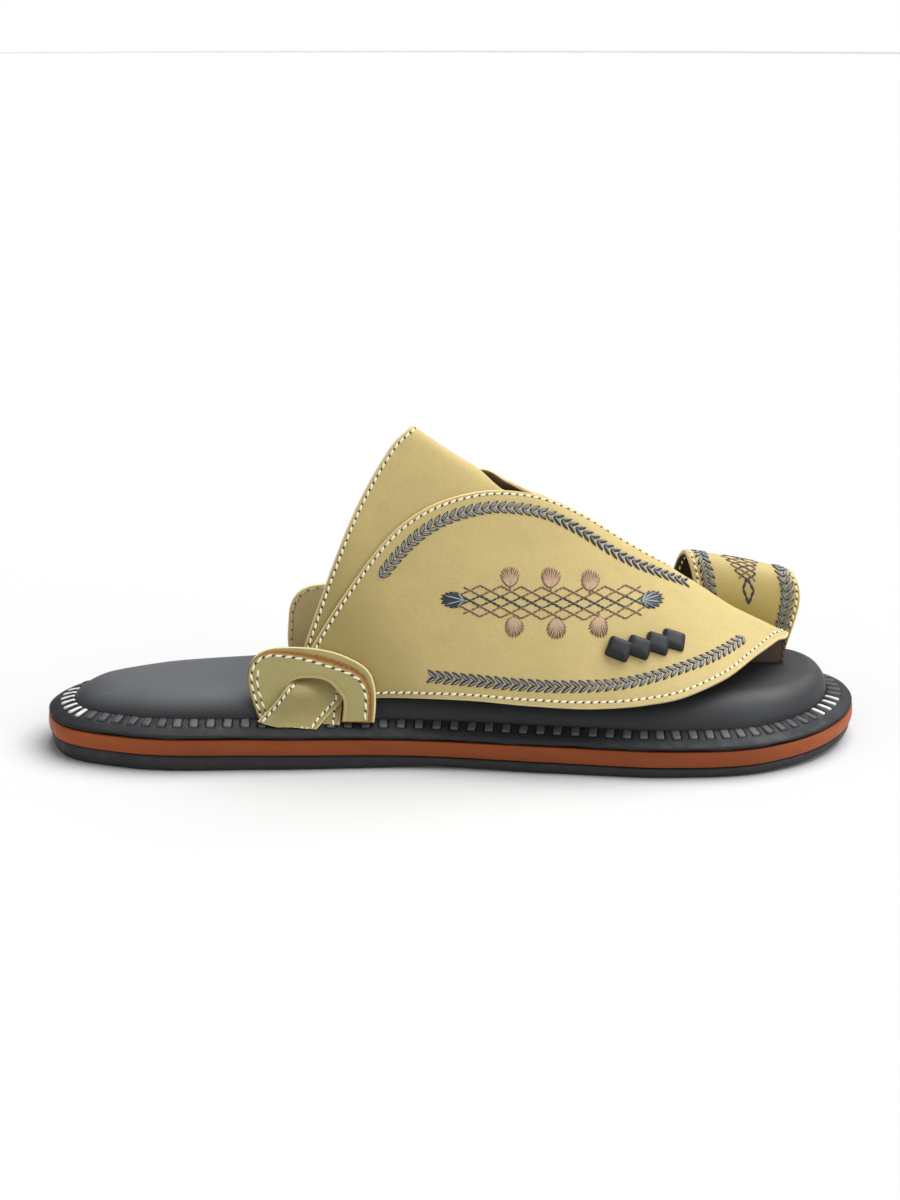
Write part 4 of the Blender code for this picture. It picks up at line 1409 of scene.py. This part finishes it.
class SANDAL_OT_rim_lacing(bpy.types.Operator):
    """Flat thong laced through the rim all round the footbed, paler at the heel and toe"""

    bl_idname = "sandal.rim_lacing"
    bl_label = "Rim lacing"

    # Pale passes lie behind and outside a place at the heel, and in a span at the toe; dark ones lie beyond
    # a span along the shoe
    PALE_HEEL, PALE_TOE, DARK_BEYOND = (19.0, 9.0), (271.0, 281.5), (46.0, 250.0)
    PALE_WIDTH = 0.62
    # A pass: its growth in length and width, its thickness, and how far it is sunk and kept from the pad
    LONGER, WIDER, THICK, SUNK, PAD_ROOM = 1.06, 1.08, 1.15, 0.22, 0.3

    def execute(self, context):
        edge, inward = sole_edge(RIM_STEPS, EDGE_FINE)
        _, passes, run = thong_phase(edge)
        closed = np.vstack([edge, edge[:1]])
        ways = np.vstack([inward, inward[:1]])
        spot = np.column_stack([np.interp(passes, run, closed[:, i]) for i in range(2)])
        way = unit(np.column_stack([np.interp(passes, run, ways[:, i]) for i in range(2)]))
        reach = sizes().thong_length / MM
        outer = self.rim_place(spot, way, PAD_INSET - reach)
        inner = self.rim_place(spot, way, PAD_INSET - self.PAD_ROOM)
        tangent = np.column_stack([way[:, 1], -way[:, 0], np.zeros(len(way))])
        up = unit(np.cross(inner - outer, tangent))
        up *= np.sign(up[:, 2:])
        middle = (outer + inner) / 2 - up * self.SUNK
        x, y = middle[:, 0], middle[:, 1]
        at_heel = (x < self.PALE_HEEL[0]) & (y < self.PALE_HEEL[1])
        pale = at_heel | ((x > self.PALE_TOE[0]) & (x < self.PALE_TOE[1]) & (y < 0))
        dark = ~pale & ((x < self.DARK_BEYOND[0]) | (x > self.DARK_BEYOND[1]))
        stitch = (reach * self.LONGER, sizes().thong_width / MM * self.WIDER, self.THICK)
        for name, chosen, surface in (
                ("rim_lacing", ~pale & ~dark, grey_thong()), ("rim_lacing_dark", dark, dark_thong()),
                ("rim_lacing_pale", pale, pale_thong())):
            spots = Spots()
            width = self.PALE_WIDTH if name.endswith("pale") else 1.0
            spots.add(middle[chosen], (inner - outer)[chosen], up[chosen], (1.0, width, 1.0))
            sew(name, spots, stitch, surface, "insole", 0.05, "thong")
        return {"FINISHED"}

    def rim_place(self, spot, way, inset):
        place = spot + way * inset
        rise = np.interp(inset, RIM.column("inset")[1:], RIM.column("rise")[1:])
        return np.column_stack([place, midsole_top(place[:, 0]) + GAP + rise])


class SANDAL_OT_straps(bpy.types.Operator):
    """Upper: leaf flap, instep strap, inner flap and the strap tails at both ears"""

    bl_idname = "sandal.straps"
    bl_label = "Straps"

    def execute(self, context):
        for name, sheet in strap_sheets().items():
            finish = tail_finish() if name.endswith("tail") else strap_finish()
            stand_for(sheet.mesh(name, finish), "upper")
        return {"FINISHED"}


def strap_sheets():
    sheets = {
        "leaf_flap": flap(LEAF, leaf_offset, True, LEAF_SKIVE),
        "instep_strap": flap(INSTEP, instep_offset),
        "inner_flap": flap(MEDIAL, medial_offset, True),
    }
    for place, side in (("outer", -1), ("inner", 1)):
        sheets[place + "_leaf_tail"] = tail(LEAF_TAIL, side)
        sheets[place + "_instep_tail"] = tail(INSTEP_TAIL, side)
    return sheets


class SANDAL_OT_ears(bpy.types.Operator):
    """Ears: two layers of leather round a raw middle layer, at both sides"""

    bl_idname = "sandal.ears"
    bl_label = "Ears"

    def execute(self, context):
        for place, side, node in (("outer", -1, "lateral_ear"), ("inner", 1, "medial_ear")):
            back, core, front = ear_layers(side)
            made = (
                back.mesh(place + "_ear_back", ear_finish(), 1.6, sewn_edges=False),
                core.mesh(place + "_ear_core", [raw_core()] * 3, 2.5, sewn_edges=False),
                front.mesh(place + "_ear_front", (olive_nubuck(), ear_lining(), raw_core()), 1.6),
            )
            for piece in made:
                stand_for(piece, node)
        return {"FINISHED"}


class SANDAL_OT_toe_loop(bpy.types.Operator):
    """Arched loop for the big toe, lined inside"""

    bl_idname = "sandal.toe_loop"
    bl_label = "Toe loop"

    def execute(self, context):
        piece = toe_loop().mesh("toe_loop_strap", strap_finish(), 1.5, sewn_edges=False, sewn_ends=True)
        stand_for(piece, "toe_loop")
        return {"FINISHED"}


class SANDAL_OT_studs(bpy.types.Operator):
    """Four soft diamond studs lying over one another on the leaf flap"""

    bl_idname = "sandal.studs"
    bl_label = "Studs"

    def execute(self, context):
        for i, (x, wrap) in enumerate(STUDS.rows):
            number = i + 1
            piece = self.pillow("stud_pad_%d" % number, x, wrap, (len(STUDS) - number) * STUD_STEP)
            stand_for(piece, "stud_%d" % number)
        return {"FINISHED"}

    def pillow(self, name, x, wrap, lift):
        """A rounded square pad on the leaf, with a low crown."""
        foot = leaf_face(x, wrap)
        normal = last_normal(np.array(x), np.array(wrap))
        up = unit(np.array([0.0, 0.0, 1.0]) - normal * normal[2])
        across = np.cross(up, normal)
        turn = math.radians(STUD_TURN)
        along = across * math.cos(turn) + up * math.sin(turn)
        high = up * math.cos(turn) - across * math.sin(turn)
        side = np.sin(np.linspace(-1, 1, STUD_CELLS) * math.pi / 2)
        a, b = np.meshgrid(side, side, indexing="ij")
        square = np.maximum(np.abs(a), np.abs(b))
        corner = (a ** STUD_CORNER_POWER + b ** STUD_CORNER_POWER) ** (1 / STUD_CORNER_POWER)
        round_off = np.where(square > 0, square / np.maximum(corner, 1e-9), 1)
        crown = (1 - square ** STUD_CROWN_POWER) ** 0.5 * (1 - STUD_CROWN * square ** 2)
        rise = STUD_EDGE + (STUD_RISE - STUD_EDGE) * crown
        flat = (a * round_off)[..., None] * along * STUD_HALF_LONG
        flat = flat + (b * round_off)[..., None] * high * STUD_HALF_SHORT
        top = foot + flat + (rise + lift)[..., None] * normal
        bottom = foot + flat - STUD_SUNK * normal
        points = np.vstack([top.reshape(-1, 3), bottom.reshape(-1, 3)])
        return mesh_object(name, points, np.vstack(closed_faces(*a.shape)), [slate_stud()])


class SANDAL_OT_seams(bpy.types.Operator):
    """Cream edge stitching with its needle holes on the straps, ears and toe loop"""

    bl_idname = "sandal.seams"
    bl_label = "Seams"

    # Growth of a stitch in length and width, its thickness, its rise out of the groove, the longer step on
    # the ears, and the size of a needle hole
    LONGER, WIDER, THICK, RISE, EAR_STEP = 1.12, 1.1, 0.8, 0.10, 1.3
    NEEDLE_HOLE = (1.05, 0.58, 0.5)

    def execute(self, context):
        near, deep = sizes().seam_inset / MM, sizes().deep_inset / MM
        straps, loop = strap_sheets(), toe_loop()
        # Seams of each piece: sheet, edge, distance in, first and last place, and True on the lower face
        rows = {
            "upper": [
                (straps["leaf_flap"], "first", near, 0.25, 11.9),
                (straps["leaf_flap"], "second", deep, 0.45, 11.9),
                (straps["instep_strap"], "first", near, 0.3, 11.7),
                (straps["inner_flap"], "first", near, 0.25, 5.6),
                (straps["inner_flap"], "second", deep, 0.45, 8.2),
            ],
            "front_edge": [(straps["leaf_flap"], "second", 0.9, 10.95, 11.95, True)],
            "toe_loop": [
                (loop, "start", near, 0.04, 0.96), (loop, "start", near, 0.1, 0.9, True),
                (loop, "end", near, 0.14, 0.96), (loop, "end", near, 0.1, 0.9, True),
            ],
        }
        for place, side, node in (("outer", -1, "lateral_ear"), ("inner", 1, "medial_ear")):
            back, _, front = ear_layers(side)
            rows[node] = [
                (front, "first", near, 0.1, 10.9), (front, "first", 3.6, 0.2, 3.0),
                (back, "first", near, 0.3, 10.9, True),
            ]
            rows["upper"] += [
                (straps[place + "_leaf_tail"], "first", near, 1.6, 4.95),
                (straps[place + "_leaf_tail"], "second", deep, 1.2, 4.72),
                (straps[place + "_instep_tail"], "second", deep, 1.2, 2.95),
            ]
        stitch = (
            sizes().stitch_length / MM * self.LONGER, sizes().stitch_width / MM * self.WIDER, self.THICK)
        for name, lines in rows.items():
            threads, holes = Spots(), Spots()
            node = "upper" if name == "front_edge" else name
            thread = brown_thread() if name == "front_edge" else cream_thread()
            long = self.EAR_STEP if node.endswith("ear") else 1.0
            pitch = sizes().stitch_pitch / MM * long
            for line in lines:
                points, up = line[0].line(*line[1:])
                points = points - up * (GROOVE_DEPTH - self.RISE)
                for spots, phase in ((threads, 0.5), (holes, 0.0)):
                    at, along, out = paced(points, up, pitch, phase)
                    spots.add(at, along + STITCH_SLANT * np.cross(out, along), out, (long, 1.0, 1.0))
            sew(name + "_stitching", threads, stitch, thread, node, 0.10)
            # needle holes as dark marks of painted shade
            sew(name + "_needle_holes", holes, self.NEEDLE_HOLE, needle_hole(), node, 0.2)
        return {"FINISHED"}


class Embroidery:
    """Threads of one embroidered ground, sorted by colour."""

    FULL = 3.0
    # Arms of a band: lean along and across it, and in arm lengths their place aside, length and needle hole
    LEAN_ALONG, LEAN_ACROSS = 0.82, 0.57
    ASIDE, ARM, TIP = 0.27, 1.18, 0.54
    # Light strands on an arm: distance from its middle and share of its length
    STRANDS = ((-0.27, 0.92), (0.25, 0.82))
    DARK_LIFT, LIGHT_LIFT = 0.05, 0.30

    def __init__(self, face):
        self.face = face
        self.threads = {name: Spots() for name in ("slate", "silver", "rose", "brown", "hole")}

    def normal(self, a, b):
        return turned_out(surface_normal(self.face, a, b), self.face(a, b, PROBE) - self.face(a, b))

    def band(self, spine, up, pitch, arm, apex, dark=(1.0, 1.0)):
        """A band of paired arms; apex is 1 where they meet ahead along the spine and -1 behind.

        Between the two shares of its run in dark it has half of its light thread.
        """
        points, along, up = paced(spine, up, pitch)
        run = np.linspace(0, 1, len(points))
        light = (run < dark[0]) | (run > dark[1])
        every = np.ones(len(points), bool)
        side = np.cross(up, along)
        for hand in (-1, 1):
            way = unit(along * apex * self.LEAN_ALONG - side * hand * self.LEAN_ACROSS)
            middle = points + side * hand * arm * self.ASIDE
            lie = np.cross(up, way)
            size = (arm * self.ARM / self.FULL, 2.9, 1.4)
            self.threads["slate"].add(middle + up * self.DARK_LIFT, way, up, size)
            for (offset, share), sewn in zip(self.STRANDS, (every, light)):
                strand = (middle + lie * offset + up * self.LIGHT_LIFT)[sewn]
                size = (arm * share / self.FULL, 0.46, 0.8)
                self.threads["silver"].add(strand, way[sewn], up[sewn], size)
            # needle holes at the arm tips: dark marks of painted shade
            self.threads["hole"].add(middle - way * arm * self.TIP, way, up, (0.30, 1.0, 0.6))

    def run(self, first, second, colour, thick=1.0, lift=0.0):
        """Single stitches between pairs of drawn places."""
        a, b = self.face(*first), self.face(*second)
        up = self.normal((first[0] + second[0]) / 2, (first[1] + second[1]) / 2)
        self.threads[colour].add_run((a + up * lift, b + up * lift), up, (1.12, thick, 1.0), self.FULL)

    def finish(self, node, label):
        width = sizes().net_thread / MM
        surfaces = dict(slate=slate_thread, silver=silver_thread, rose=rose_thread,
                        brown=brown_thread, hole=needle_hole)
        for colour, spots in self.threads.items():
            if spots.points:
                sew(label + "_" + colour, spots, (self.FULL, width, 0.55), surfaces[colour](), node, 0.05)


def triangle(place):
    """A zigzag between -1 and 1 with a period of 1."""
    return 4 * np.abs((place - 0.25) % 1.0 - 0.5) - 1


class SANDAL_OT_embroidery(bpy.types.Operator):
    """Embroidered bands, net, dots and tassels on the leaf flap and the toe loop"""

    bl_idname = "sandal.embroidery"
    bl_label = "Embroidery"

    def execute(self, context):
        pitch, arm = sizes().band_pitch / MM, sizes().band_arm / MM
        leaf = Embroidery(leaf_face)
        # Spine of each band, the way its arms point and the darker part of its run
        for table, apex, dark in ((UPPER_BAND, -1, (0.55, 1.0)), (LOWER_BAND, 1, (0.0, 0.45))):
            place = np.linspace(0, len(table) - 1, PATH_POINTS)
            x, wrap = table.at("x", place), table.at("wrap", place)
            leaf.band(leaf_face(x, wrap), leaf.normal(x, wrap), pitch, arm, apex, dark)
        self.net(leaf)
        for table, pointing in ((DOT_ABOVE, -1), (DOT_BELOW, 1)):
            for along, up in table.rows:
                self.dot(leaf, along, up, pointing)
        for end in (-1, 1):
            self.tassel(leaf, end)
        leaf.finish("upper", "leaf_embroidery")
        loop = Embroidery(lambda place, share, lift=0.0: loop_point(place, share, LOOP_WALL + lift))
        share = np.linspace(*LOOP_SPAN, PATH_POINTS)
        for row, apex in LOOP_BANDS:
            place = np.full(PATH_POINTS, row)
            loop.band(loop.face(place, share), loop.normal(place, share), pitch, arm * LOOP_ARM, apex)
        self.loop_net(loop)
        loop.finish("toe_loop", "loop_embroidery")
        return {"FINISHED"}

    def drawn(self, along, up):
        """A place on the leaf drawn from the side, by its distance from the net's middle."""
        along, up = np.asarray(along, float), np.asarray(up, float)
        x = NET_X + along
        return x, wrap_at(x, NET_Z - NET_FALL * along + up, -1)

    def net(self, leaf):
        """Crossing zigzags, brown outside and slate in the middle row."""
        period = NET_PITCH * NET_WAVES
        step = NET_PITCH / NET_STITCHES
        for wave in range(NET_WAVES):
            at = np.arange(-NET_HALF_LENGTH, NET_HALF_LENGTH, step)
            ahead = at + step
            low, high = (triangle((s + wave * NET_PITCH) / period) for s in (at, ahead))
            middle = np.abs(low + high) / 2
            reach = NET_HALF_LENGTH - NET_TAPER * np.maximum(middle - NET_SHOULDER, 0)
            tapered = np.abs(at + step / 2) < reach
            falling = high < low
            inside = middle < NET_CORE
            for colour, chosen, thick, rise in (
                    ("slate", inside & falling, 1.9, 0.0), ("slate", inside & ~falling, 1.3, 0.0),
                    ("brown", ~inside & falling, 1.7, 0.0), ("brown", ~inside & ~falling, 1.3, 0.0),
                    ("rose", ~inside & falling, 0.8, 0.34)):
                pick = chosen & tapered
                first = self.drawn(at[pick], low[pick] * NET_HALF_HEIGHT + rise)
                second = self.drawn(ahead[pick], high[pick] * NET_HALF_HEIGHT + rise)
                leaf.run(first, second, colour, thick)

    def dot(self, leaf, along, up, pointing):
        """A satin dot: threads fanned from its stem to its rim, with darker ones between them."""
        count = DOT_THREADS
        stem = up + pointing * DOT_RADIUS
        for colour, start, reach, thick, lift in (
                ("brown", 0.5, 1.05, 1.5, 0.05), ("rose", 0.0, 0.97, 0.85, 0.22)):
            turn = (np.arange(count) + start) / count * 2 * math.pi
            spread = DOT_RADIUS * reach * (1 + DOT_RUFFLE * np.cos(3 * turn + along))
            first = self.drawn(np.full(count, along), np.full(count, stem))
            rim = self.drawn(along + spread * np.cos(turn), up + spread * DOT_FLATNESS * np.sin(turn))
            leaf.run(first, rim, colour, thick, lift)
        foot = self.drawn(np.array([along]), np.array([stem + pointing * DOT_STEM]))
        leaf.run(self.drawn(np.array([along]), np.array([stem])), foot, "brown", 1.6)

    def tassel(self, leaf, end):
        """A satin tassel, broad in its middle, fanned from the net's end."""
        start = end * (NET_HALF_LENGTH - TASSEL_ROOT)
        for colour, count, reach, thick, lift in (
                ("slate", 17, 1.0, 1.9, 0.1), ("silver", 6 if end > 0 else 4, 0.88, 0.6, 0.32)):
            turn = np.linspace(-2.0, 2.0, count)
            long = TASSEL_LENGTH * reach * (0.5 + 0.5 * np.cos(turn)) * (1 - 0.08 * (np.arange(count) % 2))
            first = self.drawn(np.full(count, start), 0.0 * turn)
            tip = self.drawn(start + end * long, TASSEL_HALF * reach * np.sin(turn))
            leaf.run(first, tip, colour, thick, lift)

    def loop_net(self, loop):
        """A small net over the top of the toe loop, with a diamond hanging at each side."""
        for wave in range(LOOP_WAVES):
            at = np.linspace(-LOOP_NET, LOOP_NET, 31)
            wide = LOOP_NET_WIDE - LOOP_NET_TAPER * np.abs(at)
            zigzag = 1.0 + wide * triangle((at + LOOP_NET) / LOOP_NET + wave / LOOP_WAVES)
            colour = "brown" if wave % 2 else "slate"
            loop.run((zigzag[:-1], 0.5 + at[:-1]), (zigzag[1:], 0.5 + at[1:]), colour, 1.4)
        corner = ((1.0, 0.20), (1.10, 0.26), (1.0, 0.32), (0.90, 0.26), (1.0, 0.20))
        for mirror in (-1, 1):
            for (a, b), (c, d) in zip(corner, corner[1:]):
                share = np.linspace(0, 1, 3)
                place = a + (c - a) * share
                round_share = 0.5 + mirror * (0.5 - b - (d - b) * share)
                loop.run((place[:-1], round_share[:-1]), (place[1:], round_share[1:]), "slate", 2.0)


class SANDAL_OT_stage(bpy.types.Operator):
    """Pale studio floor, soft light and the camera"""

    bl_idname = "sandal.stage"
    bl_label = "Stage"

    CAMERA_TARGET = (-0.00125, -0.004394, 0.051)
    CAMERA_DISTANCE = 0.750
    CAMERA_ELEVATION = 16.0
    CAMERA_LENS = 64.125
    CAMERA_SENSOR = 36.0
    WORLD_STRENGTH = 0.26
    FLOOR_REACH = 9.0
    WALL_HEIGHT = 0.5
    WALL_SHARE = 0.95
    WALL_SIDES = 48
    LIGHTS = (
        # name, way towards the light, angle it fills, strength
        ("key_light", (0.40, 0.28, 1.0), 60.0, 4.37),
        ("side_light", (1.0, -0.6, 0.55), 50.0, 1.3),
        ("fill_light", (-0.9, -0.8, 0.5), 60.0, 0.60),
    )

    def execute(self, context):
        scene = context.scene
        scene.view_settings.view_transform = "Standard"
        self.floor()
        self.backdrop()
        self.world(scene)
        for name, way, angle, strength in self.LIGHTS:
            self.light(name, way, angle, strength)
        self.camera(scene)
        return {"FINISHED"}

    def floor(self):
        """A plain floor that runs out beyond the wall."""
        far = self.FLOOR_REACH
        corners = [(-far, -far, 0), (far, -far, 0), (far, far, 0), (-far, far, 0)]
        made = self.surface("floor", corners, [(0, 1, 2, 3)], studio_floor())

    def backdrop(self):
        """A low glowing wall all round the floor's edge, which hides the horizon."""
        side = np.arange(self.WALL_SIDES)
        turn = side / self.WALL_SIDES * 2 * math.pi
        ring = np.column_stack([np.cos(turn), np.sin(turn), 0 * turn]) * self.FLOOR_REACH * self.WALL_SHARE
        points = np.vstack([ring, ring + (0.0, 0.0, self.WALL_HEIGHT)])
        faces = strip_faces(side + self.WALL_SIDES, side, closed=True)
        made = self.surface("backdrop", points.tolist(), faces.tolist(), studio_wall())

    def surface(self, name, points, faces, finish):
        mesh = bpy.data.meshes.new(name)
        mesh.from_pydata(points, [], faces)
        mesh.materials.append(finish)
        return put(name, mesh)

    def world(self, scene):
        made = bpy.data.worlds.new("studio")
        made.use_nodes = True
        background = made.node_tree.nodes["Background"]
        background.inputs["Color"].default_value = (1.0, 1.0, 1.0, 1.0)
        background.inputs["Strength"].default_value = self.WORLD_STRENGTH
        scene.world = made

    def light(self, name, way, angle, strength):
        data = bpy.data.lights.new(name, "SUN")
        data.angle = math.radians(angle)
        data.energy = strength
        made = put(name, data)
        made.location = way
        made.rotation_euler = (-Vector(way)).to_track_quat("-Z", "Y").to_euler()

    def camera(self, scene):
        data = bpy.data.cameras.new("camera")
        data.sensor_fit = "VERTICAL"
        data.sensor_height = self.CAMERA_SENSOR
        data.lens = self.CAMERA_LENS
        data.clip_start, data.clip_end = 0.01, 200.0
        made = put("camera", data)
        tilt = math.radians(self.CAMERA_ELEVATION)
        back = Vector((0.0, -math.cos(tilt), math.sin(tilt)))
        made.location = Vector(self.CAMERA_TARGET) + back * self.CAMERA_DISTANCE
        made.rotation_euler = (-back).to_track_quat("-Z", "Y").to_euler()
        scene.camera = made


OPERATORS = (
    SANDAL_OT_sole, SANDAL_OT_insole, SANDAL_OT_rim_lacing, SANDAL_OT_straps, SANDAL_OT_ears,
    SANDAL_OT_toe_loop, SANDAL_OT_studs, SANDAL_OT_seams, SANDAL_OT_embroidery, SANDAL_OT_stage,
)


class SANDAL_PT_panel(bpy.types.Panel):
    """Sandal pieces, sizes and colours"""

    bl_idname = "SANDAL_PT_panel"
    bl_label = "Sandal"
    bl_space_type = "VIEW_3D"
    bl_region_type = "UI"
    bl_category = "Sandal"

    def draw(self, context):
        for made in OPERATORS:
            self.layout.operator(made.bl_idname)
        for group in (context.scene.sandal_sizes, context.scene.sandal_colours):
            for name in group.__annotations__:
                self.layout.prop(group, name)


CLASSES = (SandalSizes, SandalColours, *OPERATORS, SANDAL_PT_panel)


def register():
    for made in CLASSES:
        bpy.utils.register_class(made)
    bpy.types.Scene.sandal_sizes = PointerProperty(type=SandalSizes)
    bpy.types.Scene.sandal_colours = PointerProperty(type=SandalColours)


def unregister():
    del bpy.types.Scene.sandal_colours
    del bpy.types.Scene.sandal_sizes
    for made in reversed(CLASSES):
        bpy.utils.unregister_class(made)


def main():
    register()
    for name in ("sole", "insole", "rim_lacing", "straps", "ears", "toe_loop", "studs", "seams",
                 "embroidery", "stage"):
        getattr(bpy.ops.sandal, name)()


if __name__ == "__main__":
    main()
